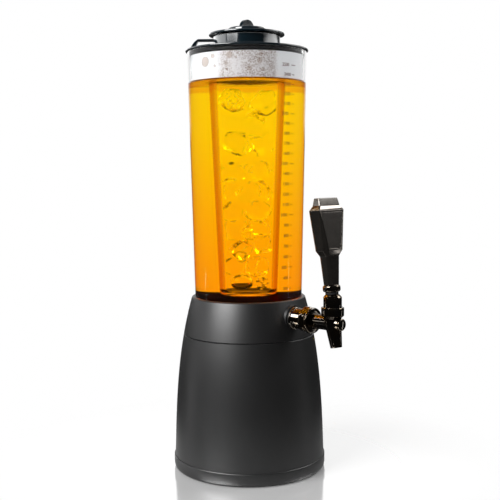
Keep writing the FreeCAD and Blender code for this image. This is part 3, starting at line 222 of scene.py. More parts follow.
finish("stand_black", moulded(
    colour=(0.0042, 0.0042, 0.0044), roughness=0.40, spread=0.05,
    grain_size=0.0006, grain_height=0.000012, specular=0.9, coat=0.0,
))
finish("plug_black", moulded(
    colour=(0.003, 0.003, 0.003), roughness=0.5, spread=0.05,
    grain_size=0.0006, grain_height=0.000012, specular=0.08, coat=0.0,
))
finish("plate_black", moulded(
    colour=(0.020, 0.020, 0.020), roughness=0.65, spread=0.1,
    grain_size=0.0009, grain_height=0.00004, specular=0.3, coat=0.0,
))
finish("lid_black", moulded(
    colour=(0.002, 0.006, 0.009), roughness=0.08, spread=0.03,
    grain_size=0.004, grain_height=0.000003, specular=0.8, coat=0.6,
))


# %% [markdown]
# ## Rubber, silicone and nylon
# The pad under the stand and the washers of the tap are soft black rubber, the lids' seals are
# black silicone, and the ring under the lever's ball is nylon. None of them shines: their detail
# is a fine, uneven skin, and a little dust that makes the high spots lighter.

# %% Soft and dull materials
def soft(colour, roughness, skin_size, subsurface=0.0):
    """A dull skin whose bumps are skin_size metres across."""
    def paint(recipe):
        skin = recipe.grain(1.0 / skin_size, 4.0, 0.6)
        dusty = toned(colour, 0.9, 0.004)
        return {
            "Base Color": recipe.blend(skin.between(0.4, 0.75), rgb(*colour), dusty),
            "Roughness": roughness + 0.15 * skin,
            "Specular IOR Level": 0.2,
            "Subsurface Weight": subsurface,
            "Subsurface Scale": 0.002,
            "Normal": recipe.bump(skin, skin_size / 12),
        }

    return paint


finish("rubber_black", soft((0.012, 0.012, 0.012), roughness=0.7, skin_size=0.0012))
finish("silicone", soft((0.006, 0.006, 0.007), roughness=0.42, skin_size=0.002))
finish("nylon", soft((0.78, 0.78, 0.74), roughness=0.4, skin_size=0.0015, subsurface=0.15))


# %% [markdown]
# ## Black chrome and the other metals
# The tap is brass, cast and turned, then polished and plated with black chrome. Plating is a
# mirror that swallows most of the light, so it is a metal with a dark colour and very little
# roughness. Polishing leaves hair-fine lines and slow ripples, which break the reflections up.
# The screws are zinc plated, and the valve's inside is bare brass with turning marks.

# %% Metals
def plated(colour, warm, roughness, ripple):
    """A metal with clouds of a warmer colour, and ripples of a height in metres."""
    def paint(recipe):
        cloud = recipe.grain(90.0, 3.0)
        hair = recipe.hairlines(2600.0, 160.0, 3.0)
        return {
            "Base Color": recipe.blend(cloud.between(0.3, 0.75), rgb(*colour), rgb(*warm)),
            "Metallic": 1.0,
            "Roughness": roughness + 0.05 * (cloud ** 2.0) + 0.03 * hair,
            "Normal": recipe.bump(cloud + 0.15 * hair, ripple),
        }

    return paint


finish("black_chrome", plated(
    colour=(0.125, 0.117, 0.108), warm=(0.17, 0.13, 0.085), roughness=0.045, ripple=0.00003,
))
finish("steel", plated(
    colour=(0.55, 0.56, 0.57), warm=(0.5, 0.5, 0.48), roughness=0.25, ripple=0.00002,
))
finish("brass", plated(
    colour=(0.62, 0.42, 0.14), warm=(0.72, 0.52, 0.22), roughness=0.22, ripple=0.00002,
))


# %% [markdown]
# ## The handle's lacquer
# The paddle is moulded plastic with a metallised lacquer: darker than the tap and a little
# softer, brownish in the light. The panels on its broad faces and the block on top are the same
# plastic with a fine brushed grain, so their reflections spread a bit.

# %% Handle finishes
def lacquered(colour, metallic, roughness, coat):
    """A brushed lacquer with metal in it."""
    def paint(recipe):
        cloud = recipe.grain(60.0, 3.0)
        brushed = recipe.hairlines(3200.0, 130.0, 4.0)
        lighter = toned(colour, 1.25)
        return {
            "Base Color": recipe.blend(cloud.between(0.3, 0.7), rgb(*colour), lighter),
            "Metallic": metallic,
            "Roughness": roughness + 0.06 * brushed,
            "Coat Weight": coat,
            "Coat Roughness": 0.05,
            "Normal": recipe.bump(brushed, 0.000006),
        }

    return paint


finish("handle_black", lacquered((0.15, 0.135, 0.12), metallic=0.95, roughness=0.06, coat=0.1))
finish("handle_panel", lacquered((0.15, 0.138, 0.125), metallic=0.85, roughness=0.22, coat=0.1))


# %% [markdown]
# ## Clear plastic, beer and ice
# A clear solid is drawn by where its surfaces are and by how much each bends the light. Clear
# plastic bends light by 1.49 and beer by 1.34. Where the two touch there is one surface and one
# small step between them, so the wetted side of the plastic bends light by 1.49 / 1.34. The
# beer's own skin there bends nothing and only colours the light: half of its colour on the way
# in, half on the way out. The colour is yellow near the surface and more orange further down, and
# the last six millimetres under the surface are a browner layer.
#
# The tube is full of broken ice, meltwater and air. Together they bend light by about 1.16, and
# each lump of ice bends it once more against the mix around it. A bubble of air in the meltwater
# bends light the other way.

# %% Clear finishes
CLEAR_PLASTIC_IOR, BEER_IOR, ICE_MIX_IOR = 1.49, 1.34, 1.16
ICE_IN_MIX = 1.14           # how much a lump of ice bends light against the mix
WHITE = (1.0, 1.0, 1.0)
SURFACE = 426.2             # millimetres, the top of the beer
BROWN_FROM = 0.420          # metres, the foot of the browner layer under it
ORANGE_BELOW, YELLOW_ABOVE = 0.165, 0.43    # metres
BEER_COLOURS = [
    (0.0, rgb(1.0, 0.30, 0.0002)), (0.5, rgb(1.0, 0.44, 0.0002)), (1.0, rgb(1.0, 0.60, 0.0006)),
]


def clear(colour, ior, glare=1.0, wave_size=0.0, wave_height=0.0):
    """A clear material. glare dims its mirror image, and the waves are in metres."""
    def paint(recipe):
        sockets = {
            "Base Color": rgb(*colour),
            "Roughness": 0.0,
            "Transmission Weight": 1.0,
            "IOR": ior,
            "Specular Tint": rgb(glare, glare, glare),
        }
        if wave_height:
            sockets["Normal"] = recipe.bump(recipe.grain(1.0 / wave_size, 2.0), wave_height)
        return sockets

    return paint


def wetted_tube(recipe):
    """The tube's wall in the beer, with painted shade where it is seen edge on."""
    # Painted shade: the wall is coloured darker and browner where it is seen edge on.
    edge = recipe.edge_on().between(0.36, 0.43)
    return {
        "Base Color": recipe.blend(edge, rgb(1.0, 0.99, 0.95), rgb(0.66, 0.34, 0.2)),
        "Roughness": 0.0,
        "Transmission Weight": 1.0,
        "IOR": CLEAR_PLASTIC_IOR / BEER_IOR,
    }


def beer_in_glass(recipe):
    """The beer: orange at its foot, yellow higher up, brown just under its surface."""
    height = recipe.axis(recipe.place(), "Z")
    cloud = recipe.grain(9.0, 2.0)
    share = height.between(ORANGE_BELOW, YELLOW_ABOVE) + 0.08 * (cloud - 0.5)
    deep = recipe.node("ShaderNodeValToRGB", {"stops": BEER_COLOURS}, {0: share})
    wavy = height + 0.0016 * (recipe.grain(40.0, 2.0) - 0.5)
    layer = wavy.between(BROWN_FROM - 0.0004, BROWN_FROM + 0.0006)
    return {
        "Base Color": recipe.blend(layer, deep, rgb(0.84, 0.29, 0.002)),
        "Roughness": 0.0,
        "Transmission Weight": 1.0,
        "IOR": 1.0,
    }


def beer_surface(recipe):
    """The top of the beer, flecked with the last of its foam."""
    flecks = recipe.cells(420.0)
    cloud = recipe.grain(60.0, 4.0, 0.6).between(0.35, 0.7)
    return {
        "Base Color": recipe.blend(cloud, rgb(0.68, 0.24, 0.012), rgb(0.84, 0.36, 0.03)),
        "Roughness": 0.12,
        "Transmission Weight": 0.8,
        "IOR": BEER_IOR,
        "Normal": recipe.bump(flecks, 0.0006),
    }


def nothing_to_see(recipe):
    """The middle of the beer's surface, where the tube passes through it and there is no beer."""
    return {"Base Color": rgb(*WHITE), "Alpha": 0.0, "IOR": 1.0, "Roughness": 0.0}


finish("clear_plastic", clear((0.995, 0.998, 1.0), CLEAR_PLASTIC_IOR, glare=0.12))
finish("plastic_on_beer", clear(WHITE, CLEAR_PLASTIC_IOR / BEER_IOR))
finish("tube_in_beer", wetted_tube)
finish("beer", beer_in_glass)
finish("beer_top", beer_surface)
finish("tube_on_ice", clear(WHITE, CLEAR_PLASTIC_IOR / ICE_MIX_IOR))
finish("ice", clear((0.99, 0.99, 0.98), ICE_IN_MIX, wave_size=0.012, wave_height=0.002))
finish("air", clear(WHITE, 1.0 / BEER_IOR))
finish("tube_opening", nothing_to_see)

# %% [markdown]
# ## Dress the frame's own nodes
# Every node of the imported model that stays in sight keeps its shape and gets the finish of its
# material slot.

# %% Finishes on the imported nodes
for name, node in NODES.items():
    node.data.materials.clear()
    node.data.materials.append(FINISHES[SLOT_OF_NODE[name]])
print("dressed", len(NODES), "nodes")

# %% [markdown]
# ## From a mesh to a piece
# A finished piece is an object at the origin with its place in its mesh. `make_piece` turns a
# bmesh into such an object, gives it its finishes, smooths everything but its sharp edges, hangs
# it on an empty for the body it rides on, and hides the imported nodes it stands for.

# %% Making a piece
def make_piece(name, bm, finishes, body, replaces=(), crease=60.0):
    """An object from a bmesh. Edges that turn by more than crease degrees stay sharp."""
    mesh = bpy.data.meshes.new(name)
    bm.to_mesh(mesh)
    bm.free()
    for each in finishes:
        mesh.materials.append(FINISHES[each])
    mesh.shade_smooth()
    mesh.set_sharp_from_angle(angle=math.radians(crease))
    piece = bpy.data.objects.new(name, mesh)
    bpy.context.scene.collection.objects.link(piece)
    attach(piece, body)
    if replaces:
        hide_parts(*replaces)
    print("piece:", name, len(mesh.polygons), "faces on", body)
    return piece


# %% [markdown]
# ## Castings with broken edges
# No real edge is knife sharp: a casting is tumbled, and a turned part has its edges broken. That
# thin rounding is what catches the light, so it matters more than its size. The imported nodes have
# sharp edges and are made of loose triangles. `broken_edges` copies one, merges it, joins the
# triangles that lie in one plane, and bevels every edge that turns by more than 30 degrees. On
# the handle and the lids, a weighted normal modifier keeps the large faces flat, so that only the
# bevels are shaded round. The outer lid's faces below PLUG_TOP are its plug, which gets the matt
# finish.

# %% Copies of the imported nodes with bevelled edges
SHARP_EDGE = math.radians(30)
ONE_PLANE = math.radians(0.5)
SAME_POINT = 2e-6           # metres
PLUG_TOP = 0.4601           # metres
FLAT_CREASE, TURNED_CREASE = 32.0, 20.0     # degrees
FLAT_SIDED = {
    "outer_lid", "inner_lid",
    "handle_body", "handle_front_panel", "handle_back_panel", "handle_cap",
}
EDGE_WIDTHS = {             # metres
    "base_ring": 0.0005, "outer_lid": 0.00025, "inner_lid": 0.0003,
    "coupling_nut": 0.0002, "tap_body": 0.00025, "front_plug": 0.0002, "bonnet_dome": 0.0003,
    "bonnet_ring": 0.00025, "shank": 0.0002, "handle_ferrule": 0.0003, "handle_body": 0.0005,
    "handle_front_panel": 0.0003, "handle_back_panel": 0.0003, "handle_cap": 0.0005,
}


def bevel_sharp(bm, width, segments=2, above=-1.0):
    """Bevel the sharp edges above a height, all in metres."""
    edges = [
        edge for edge in bm.edges
        if len(edge.link_faces) == 2 and edge.calc_face_angle(0.0) > SHARP_EDGE
        and edge.verts[0].co.z > above
    ]
    bmesh.ops.bevel(
        bm, geom=edges, offset=width, offset_type="OFFSET", segments=segments, profile=0.5,
        affect="EDGES", clamp_overlap=True, material=-1,
    )


def broken_edges(node, width):
    """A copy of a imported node, with its edges bevelled, that stands for the node."""
    bm = bmesh.new()
    bm.from_mesh(NODES[node].data)
    bmesh.ops.remove_doubles(bm, verts=bm.verts, dist=SAME_POINT)
    bmesh.ops.dissolve_limit(bm, angle_limit=ONE_PLANE, verts=bm.verts, edges=bm.edges)
    bevel_sharp(bm, width)
    bmesh.ops.recalc_face_normals(bm, faces=bm.faces)
    has_plug, flat_sided = node == "outer_lid", node in FLAT_SIDED
    for face in bm.faces:
        face.material_index = int(has_plug and face.calc_center_median().z < PLUG_TOP)
    slot, body = SLOT_OF_NODE[node], BODY_OF_NODE[node]
    finishes = [slot, "plug_black"] if has_plug else [slot]
    crease = FLAT_CREASE if flat_sided else TURNED_CREASE
    piece = make_piece(node + "_finished", bm, finishes, body, [node], crease)
    if flat_sided:
        flat = piece.modifiers.new("flat_faces", "WEIGHTED_NORMAL")
        flat.weight, flat.keep_sharp = 80, True


for node, width in EDGE_WIDTHS.items():
    broken_edges(node, width)


# %% [markdown]
# ## Turned outlines
# The vessel, the tube and the beer are round, and light passes through them, so they need a finer
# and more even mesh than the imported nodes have. A line of points is drawn in the XZ plane and
# spun about the tower's axis.

# %% Spinning an outline
ROUND_STEPS = 192
CLEAR_CREASE = 40.0         # degrees


def spin_outline(points, closed=False):
    """Spin (radius, height) points in millimetres about the tower's axis."""
    bm = bmesh.new()
    corners = [bm.verts.new((radius / 1000, 0.0, height / 1000)) for radius, height in points]
    runs = list(zip(corners, corners[1:])) + ([(corners[-1], corners[0])] if closed else [])
    lines = [bm.edges.new(run) for run in runs]
    bmesh.ops.spin(
        bm, geom=corners + lines, cent=(0, 0, 0), axis=(0, 0, 1), dvec=(0, 0, 0),
        angle=math.tau, steps=ROUND_STEPS, use_merge=True, use_duplicate=False,
    )
    bmesh.ops.remove_doubles(bm, verts=bm.verts, dist=1e-7)
    bmesh.ops.recalc_face_normals(bm, faces=bm.faces)
    return bm


def rounded_foot(radius_at, foot, reach, lift=0.0):
    """The corner from a flat floor up to a wall, as three points in millimetres."""
    middle = 0.3 * reach
    return [
        (radius_at(foot) - reach, foot + lift),
        (radius_at(foot + middle) - middle, foot + middle + lift),
        (radius_at(foot + reach), foot + reach + lift),
    ]


def level_rows(bm, heights):
    """Cut rows of edges round a mesh at the given heights in millimetres, for even shading."""
    for height in heights:
        bmesh.ops.bisect_plane(
            bm, geom=bm.verts[:] + bm.edges[:] + bm.faces[:], dist=1e-7,
            plane_co=(0, 0, height / 1000), plane_no=(0, 0, 1),
        )


def radius_and_height(face):
    """How far the middle of a face is from the tower's axis, and how high, in millimetres."""
    middle = face.calc_center_median() * 1000
    return math.hypot(middle.x, middle.y), middle.z


# %% [markdown]
# ## The vessel
# The vessel is a tapered cup of clear plastic with a flat floor. It is moulded, so its corners
# are rounded and its wall is a cone with 1.3 degrees of draft. Inside, a round pad gives the
# tap's washer a flat seat, and the shank's hole goes through both. The cup is spun, the pad is
# added and the hole is cut with Boolean modifiers, which are applied at once.
#
# Smooth shading blends the normals at the two ends of a face, so a tall wall that ends in a
# rounded corner would bend light wrongly all the way up. Rows of edges close to the corners keep
# the blend short.

# %% The clear vessel
VESSEL_FOOT, VESSEL_TOP, VESSEL_WALL = 157.0, 460.0, 2.3
VESSEL_FLOOR = VESSEL_FOOT + 3.0
VESSEL_RIM, VESSEL_DRAFT = 65.4, 1.315      # radius at the top, degrees
VESSEL_CORNER = 3.0
TAP_AXIS = 174.3
OVER_PAD = TAP_AXIS + 15.5
RIM_BEVEL = 0.6
CLOSE = 0.4                 # how close to a corner a row of edges lies
WALL_MIDDLE = 300.0         # the height of a row of edges half way up
INSIDE = 0.6                # a face further in than this share of the wall is on its inner side
# Round bars on the tap's axis: radius, and how far from the tower's axis they begin and end
WASHER_PAD, SHANK_HOLE = (13.6, 54.24, 56.9), (8.2, 50.0, 62.0)


def vessel_radius(height):
    return VESSEL_RIM - (VESSEL_TOP - height) * math.tan(math.radians(VESSEL_DRAFT))


def vessel_bore(height):
    return vessel_radius(height) - VESSEL_WALL


def tap_bar(radius, near, far):
    """A round bar on the tap's axis. near and far are millimetres from the tower's axis."""
    bm = bmesh.new()
    bmesh.ops.create_cone(
        bm, cap_ends=True, segments=64, radius1=radius / 1000, radius2=radius / 1000,
        depth=(far - near) / 1000,
    )
    upright = Matrix.Rotation(math.radians(90), 3, "X")
    bmesh.ops.rotate(bm, verts=bm.verts, cent=(0, 0, 0), matrix=upright)
    bmesh.ops.translate(bm, verts=bm.verts, vec=(0, -(near + far) / 2000, TAP_AXIS / 1000))
    return bm


def joined(bm, other, operation):
    """bm after a Boolean with another mesh."""
    objects = []
    for source in (bm, other):
        mesh = bpy.data.meshes.new("blank")
        source.to_mesh(mesh)
        source.free()
        blank = bpy.data.objects.new("blank", mesh)
        bpy.context.scene.collection.objects.link(blank)
        objects.append(blank)
    cut = objects[0].modifiers.new("cut", "BOOLEAN")
    cut.operation, cut.solver, cut.object = operation, "EXACT", objects[1]
    graph = bpy.context.evaluated_depsgraph_get()
    result = bmesh.new()
    result.from_mesh(objects[0].evaluated_get(graph).to_mesh())
    for blank in objects:
        mesh = blank.data
        bpy.data.objects.remove(blank)
        bpy.data.meshes.remove(mesh)
    return result


def vessel_finish(face):
    """Index of a face's finish: dry plastic, or plastic that the beer wets."""
    radius, height = radius_and_height(face)
    inside = radius < vessel_radius(height) - VESSEL_WALL * INSIDE
    return int(VESSEL_FLOOR - 0.1 < height < SURFACE and inside)


cup = spin_outline([
    (0, VESSEL_FOOT),
    *rounded_foot(vessel_radius, VESSEL_FOOT, VESSEL_CORNER),
    (vessel_radius(VESSEL_TOP), VESSEL_TOP),
    (vessel_bore(VESSEL_TOP), VESSEL_TOP),
    *reversed(rounded_foot(vessel_bore, VESSEL_FLOOR, VESSEL_CORNER)),
    (0, VESSEL_FLOOR),
])
bevel_sharp(cup, RIM_BEVEL / 1000, segments=3, above=(VESSEL_TOP - 1.0) / 1000)
level_rows(cup, [
    VESSEL_FOOT + VESSEL_CORNER + CLOSE, VESSEL_FLOOR + VESSEL_CORNER + CLOSE, OVER_PAD,
    WALL_MIDDLE, SURFACE, VESSEL_TOP - RIM_BEVEL - 0.5,
])
cup = joined(cup, tap_bar(*WASHER_PAD), "UNION")
cup = joined(cup, tap_bar(*SHANK_HOLE), "DIFFERENCE")
for face in cup.faces:
    face.material_index = vessel_finish(face)
VESSEL_FINISHES = ["clear_plastic", "plastic_on_beer"]
make_piece(
    "vessel_glass", cup, VESSEL_FINISHES, "tower",
    replaces=["vessel"], crease=CLEAR_CREASE,
)

# %% [markdown]
# ## The ice tube
# The tube is a long, closed cup of the same plastic. It hangs by a flange from the lid's neck,
# with its foot 35 millimetres above the vessel's floor. The wall has its own finish where it
# stands in the beer, and another where it holds the ice.

# %% The ice tube
TUBE_FOOT, TUBE_RIM, TUBE_WALL = 195.0, 477.6, 2.0
TUBE_FLOOR = TUBE_FOOT + 2.5
TUBE_FOOT_RADIUS, TUBE_DRAFT = 23.8, 1.87   # millimetres, degrees
TUBE_CORNER = 4.0
NECK_TOP, FLANGE_RADIUS = 476.1, 36.18
ICE_TOP = 456.0


def tube_radius(height):
    return TUBE_FOOT_RADIUS + (height - TUBE_FOOT) * math.tan(math.radians(TUBE_DRAFT))


def tube_bore(height):
    return tube_radius(height) - TUBE_WALL


def tube_finish(face):
    """Index of a face's finish: dry plastic, plastic in the beer, or plastic round the ice."""
    radius, height = radius_and_height(face)
    inner = radius < tube_radius(height) - TUBE_WALL * INSIDE
    if inner and face.normal.z > -0.5:
        return 2 if height < ICE_TOP else 0
    return 1 if height < SURFACE else 0


tube = spin_outline([
    (0, TUBE_FOOT),
    *rounded_foot(tube_radius, TUBE_FOOT, TUBE_CORNER),
    (tube_radius(SURFACE), SURFACE),
    (tube_radius(NECK_TOP), NECK_TOP),
    (FLANGE_RADIUS, NECK_TOP),
    (FLANGE_RADIUS, TUBE_RIM),
    (tube_bore(TUBE_RIM), TUBE_RIM),
    *reversed(rounded_foot(tube_bore, TUBE_FLOOR, TUBE_CORNER)),
    (0, TUBE_FLOOR),
])
level_rows(tube, [
    TUBE_FOOT + TUBE_CORNER + CLOSE, TUBE_FLOOR + TUBE_CORNER + CLOSE,
    WALL_MIDDLE, ICE_TOP, NECK_TOP - CLOSE,
])
for face in tube.faces:
    face.material_index = tube_finish(face)
TUBE_FINISHES = ["clear_plastic", "tube_in_beer", "tube_on_ice"]
make_piece(
    "ice_tube_wall", tube, TUBE_FINISHES, "ice_insert",
    replaces=["ice_tube"], crease=CLEAR_CREASE,
)

# %% [markdown]
# ## The beer
# The beer fills the vessel up to between the 2300 and 2400 marks. Where its surface meets a wall
# it climbs a millimetre, and that curved rim shows as a bright and dark line all the way round.
# The beer is one closed mesh, a hair smaller than the vessel's inside. The middle of its surface,
# inside the tube, isn't beer and can't be seen.

# %% The beer
HAIR = 0.04
CLIMB = 1.3                 # how high the beer's edge climbs
CURVE = [(0.4, 0.75), (1.2, 0.3), (2.6, 0.0)]   # distance from a wall, and the climb there
ROOM_FOR_PAD = (13.7, 53.0, 62.0)       # a bar on the tap's axis, as in the vessel


def beer_radius(height):
    return vessel_bore(height) - HAIR


def beer_finish(face):
    """Index of a face's finish: a side of the beer, its surface, or the tube's opening in it."""
    radius, height = radius_and_height(face)
    if face.normal.z > 0.1 and height > SURFACE - 0.2:
        return 2 if radius < tube_radius(SURFACE) else 1
    return 0


beer = spin_outline([
    (0, VESSEL_FLOOR + HAIR),
    *rounded_foot(beer_radius, VESSEL_FLOOR, VESSEL_CORNER, HAIR),
    (beer_radius(SURFACE + CLIMB), SURFACE + CLIMB),
    *[(beer_radius(SURFACE) - away, SURFACE + climb) for away, climb in CURVE],
    *[(tube_radius(SURFACE) + away, SURFACE + climb) for away, climb in reversed(CURVE)],
    (tube_radius(SURFACE) + HAIR, SURFACE + CLIMB),
    (0, SURFACE + CLIMB),
])
level_rows(beer, [VESSEL_FLOOR + VESSEL_CORNER + 0.5, WALL_MIDDLE, SURFACE - 0.5])
beer = joined(beer, tap_bar(*ROOM_FOR_PAD), "DIFFERENCE")
for face in beer.faces:
    face.material_index = beer_finish(face)
BEER_FINISHES = ["beer", "beer_top", "tube_opening"]
make_piece("beer", beer, BEER_FINISHES, "tower", crease=CLEAR_CREASE)

# %% [markdown]
# ## The ice
# Ice cubes from a tray have rounded edges and slightly dished faces, and they melt unevenly. Each
# one starts as a cube with a generous bevel, is subdivided, and is then pushed about by a slow
# noise. They are stacked in layers of three, turned at random, and held inside the tube's bore.
# At the foot of the tube the meltwater holds a large pocket of air and a crowd of bubbles. The
# random numbers have a fixed seed, so the stack is the same each time.

# %% Ice cubes
ICE_SEED = 11
STACK_FOOT, STACK_TOP = 229.0, 420.0
BORE_SPARE = 0.6            # between the ice and the tube's wall
# Ranges of the random draws. Sizes and steps are shares of the bore's radius.
CUBE_SIZES, LAYER_STEPS = (0.66, 0.92), (0.80, 0.95)
SECOND_SIDES, THIRD_SIDES = (0.8, 1.0), (0.75, 1.0)
MELTS, UNEVEN = (3.0, 6.5), (-3.0, 3.0)     # millimetres
LAYER_TURNS = (0.6, 1.4)    # radians
FIRST_TURN = 0.6
ice_random = random.Random(ICE_SEED)


def add_mesh(whole, part):
    """Add one bmesh to another."""
    mesh = bpy.data.meshes.new("part")
    part.to_mesh(mesh)
    part.free()
    whole.from_mesh(mesh)
    bpy.data.meshes.remove(mesh)


def worn_cube(size, turn, melt, seed):
    """One worn cube of ice, in millimetres."""
    bm = bmesh.new()
    bmesh.ops.create_cube(bm, size=size)
    shrink = (1.0, ice_random.uniform(*SECOND_SIDES), ice_random.uniform(*THIRD_SIDES))
    bmesh.ops.scale(bm, verts=bm.verts, vec=shrink)
    bmesh.ops.bevel(
        bm, geom=bm.edges[:], offset=size * 0.24, offset_type="OFFSET", segments=3, profile=0.5,
        affect="EDGES", clamp_overlap=True, material=-1,
    )
    bmesh.ops.subdivide_edges(bm, edges=bm.edges[:], cuts=1, use_grid_fill=True, smooth=0.6)
    for vert in bm.verts:
        slow = noise.noise(vert.co * 0.07 + Vector((seed, 0, 0)))
        vert.co += vert.co.normalized() * melt * (slow + 0.5 * noise.noise(vert.co * 0.19))
    bmesh.ops.rotate(bm, verts=bm.verts, cent=(0, 0, 0), matrix=turn.to_matrix())
    return bm


def held_in_bore(bm):
    """Pull what would touch the tube's wall back inside it."""
    for vert in bm.verts:
        room = tube_bore(vert.co.z) - BORE_SPARE
        out = math.hypot(vert.co.x, vert.co.y)
        if out > room:
            vert.co.x, vert.co.y = vert.co.x * room / out, vert.co.y * room / out


def random_turn():
    axis = Vector([ice_random.uniform(-1, 1) for _ in range(3)])
    return axis.normalized().to_track_quat("Z", "Y")


ice = bmesh.new()
height, heading, count = STACK_FOOT, FIRST_TURN, 0
while height < STACK_TOP:
    room = tube_bore(height)
    for side in range(3):
        size = room * ice_random.uniform(*CUBE_SIZES)
        cube = worn_cube(size, random_turn(), ice_random.uniform(*MELTS), count)
        offset = room - size * 0.52
        angle = heading + math.tau * side / 3
        level = height + ice_random.uniform(*UNEVEN)
        place = (offset * math.cos(angle), offset * math.sin(angle), level)
        bmesh.ops.translate(cube, verts=cube.verts, vec=place)
        held_in_bore(cube)
        bmesh.ops.scale(cube, verts=cube.verts, vec=(0.001, 0.001, 0.001))
        add_mesh(ice, cube)
        count += 1
    heading += ice_random.uniform(*LAYER_TURNS)
    height += room * ice_random.uniform(*LAYER_STEPS)
make_piece("ice_cubes", ice, ["ice"], "ice_insert")
print("ice:", count, "cubes")

# %% Air at the foot of the tube
AIR_POCKET, POCKET_PLACE, POCKET_SQUASH = 11.5, (-4.4, 4.4, 209.6), (1.0, 1.0, 0.82)
BUBBLE_COUNT = 40
BUBBLE_RADII, BUBBLES_OUT, BUBBLE_LEVELS = (0.8, 2.3), (9.0, 18.5), (201.0, 221.0)
BUBBLE_TURNS = (-85.0, -10.0)       # degrees


def small_ball(radius, place, squash=(1.0, 1.0, 1.0)):
    """A little ball, given in millimetres and made in metres."""
    bm = bmesh.new()
    bmesh.ops.create_icosphere(bm, subdivisions=3, radius=radius / 1000)
    bmesh.ops.scale(bm, verts=bm.verts, vec=squash)
    bmesh.ops.translate(bm, verts=bm.verts, vec=Vector(place) / 1000)
    return bm


bubbles = small_ball(AIR_POCKET, POCKET_PLACE, POCKET_SQUASH)
for _ in range(BUBBLE_COUNT):
    out = ice_random.uniform(*BUBBLES_OUT)
    turn = math.radians(ice_random.uniform(*BUBBLE_TURNS))
    level = ice_random.uniform(*BUBBLE_LEVELS)
    place = (out * math.cos(turn), out * math.sin(turn), level)
    add_mesh(bubbles, small_ball(ice_random.uniform(*BUBBLE_RADII), place))
make_piece("air_bubbles", bubbles, ["air"], "ice_insert")

# %% [markdown]
# ## The printed scale
# A scale is screen printed on the front of the vessel, from 300 to 2500 millilitres. The marks
# come closer together towards the top, because the vessel gets wider. Each number is a text
# object turned into a mesh, laid on the vessel's cone, and all of them are joined into one piece.

# %% The scale
INK_LIFT = 0.04             # millimetres above the plastic
DIGIT_SIZE, DIGIT_WEIGHT = 4.7, 0.06
TICK_WIDTH = 0.7
FIRST_MARK, LAST_MARK, MARK_STEP, LONG_EVERY = 300, 2500, 100, 500
# The marks' heights: a straight line, bent a little because the vessel widens
FIRST_HEIGHT, PER_MILLILITRE, BEND, MIDDLE_MARK = 205.2, 0.11136, 3.8e-6, 1400
LONG_MARK = (-2.2, 0.7, 6.4)    # degrees right of the tap: a number's end, its tick's two ends
SHORT_MARK = (0.1, 2.0, 5.0)


def mark_height(millilitres):
    """Height of a mark in millimetres, on a curve through three marks of the scale."""
    step = millilitres - FIRST_MARK
    return FIRST_HEIGHT + PER_MILLILITRE * step - BEND * step * (millilitres - MIDDLE_MARK)


def on_vessel(degrees, height, lift):
    """A point on the vessel's outside, so many degrees to the right of the tap."""
    radius = vessel_radius(height) + lift
    angle = math.radians(degrees)
    return Vector((radius * math.sin(angle), -radius * math.cos(angle), height)) / 1000


def number_print(words):
    """A text as a flat bmesh in the XY plane, in millimetres, with its right end at the origin."""
    curve = bpy.data.curves.new("number", "FONT")
    curve.body, curve.size, curve.resolution_u, curve.offset = words, DIGIT_SIZE, 3, DIGIT_WEIGHT
    curve.align_x, curve.align_y = "RIGHT", "CENTER"
    words_object = bpy.data.objects.new("number", curve)
    bpy.context.scene.collection.objects.link(words_object)
    mesh = bpy.data.meshes.new_from_object(words_object)
    bm = bmesh.new()
    bm.from_mesh(mesh)
    bpy.data.objects.remove(words_object)
    bpy.data.curves.remove(curve)
    bpy.data.meshes.remove(mesh)
    return bm


def tick_print(start, end, height):
    """A tick from one angle to another, flat in the XY plane and centred on the origin."""
    bm = bmesh.new()
    bmesh.ops.create_grid(bm, x_segments=4, y_segments=1, size=0.5)
    length = math.radians(end - start) * vessel_radius(height)
    bmesh.ops.scale(bm, verts=bm.verts, vec=(length, TICK_WIDTH, 1.0))
    return bm


def lay_on_vessel(bm, degrees, height):
    """Wrap a flat print round the vessel, with its origin at an angle and a height."""
    for vert in bm.verts:
        turn = degrees + math.degrees(vert.co.x / vessel_radius(height))
        vert.co = on_vessel(turn, height + vert.co.y, INK_LIFT)
    return bm


def printed_ink(recipe):
    """A thin brown black ink, worn in places."""
    worn = recipe.grain(900.0, 3.0)
    faded = worn.between(0.45, 0.8)
    return {
        "Base Color": recipe.blend(faded, rgb(0.11, 0.014, 0.010), rgb(0.15, 0.025, 0.015)),
        "Roughness": 0.45 + 0.2 * worn,
        "Specular IOR Level": 0.15,
    }


finish("printed_ink", printed_ink)
scale = bmesh.new()
for millilitres in range(FIRST_MARK, LAST_MARK + 1, MARK_STEP):
    height = mark_height(millilitres)
    label_end, start, end = SHORT_MARK if millilitres % LONG_EVERY else LONG_MARK
    add_mesh(scale, lay_on_vessel(number_print(str(millilitres)), label_end, height))
    add_mesh(scale, lay_on_vessel(tick_print(start, end, height), (start + end) / 2, height))
make_piece("printed_scale", scale, ["printed_ink"], "tower")

# %% [markdown]
# ## Fog, foam and mist
# The ice cools the space above the beer, so its walls are wet. The ice tube carries a mist of
# fine drops: a thin sleeve, see-through where a pattern of cells and noise has a gap. The
# vessel's wall is fogged from the beer up to the lid. The fog is a pale sleeve that lets a little
# light through and scatters the rest. A band down its middle, square to the camera, is painted
# shade: darker and brownish, with specks of drops in it. Between that sleeve and the wall, a few
# large bubbles are pressed flat.

# %% Fogged plastic
ACROSS = (0.70711, -0.70711, 0.0)       # level, and square to the way the camera looks
MIST_CELLS = 500.0          # to a metre
DROP_EDGE = 0.72            # the pattern's value at which a drop begins
# The next two ranges bound the band of painted shade on the fog, across the camera's view.
SHADE_BAND_LEFT, SHADE_BAND_RIGHT = (-0.036, -0.022), (0.026, 0.034)      # metres, where the band fades


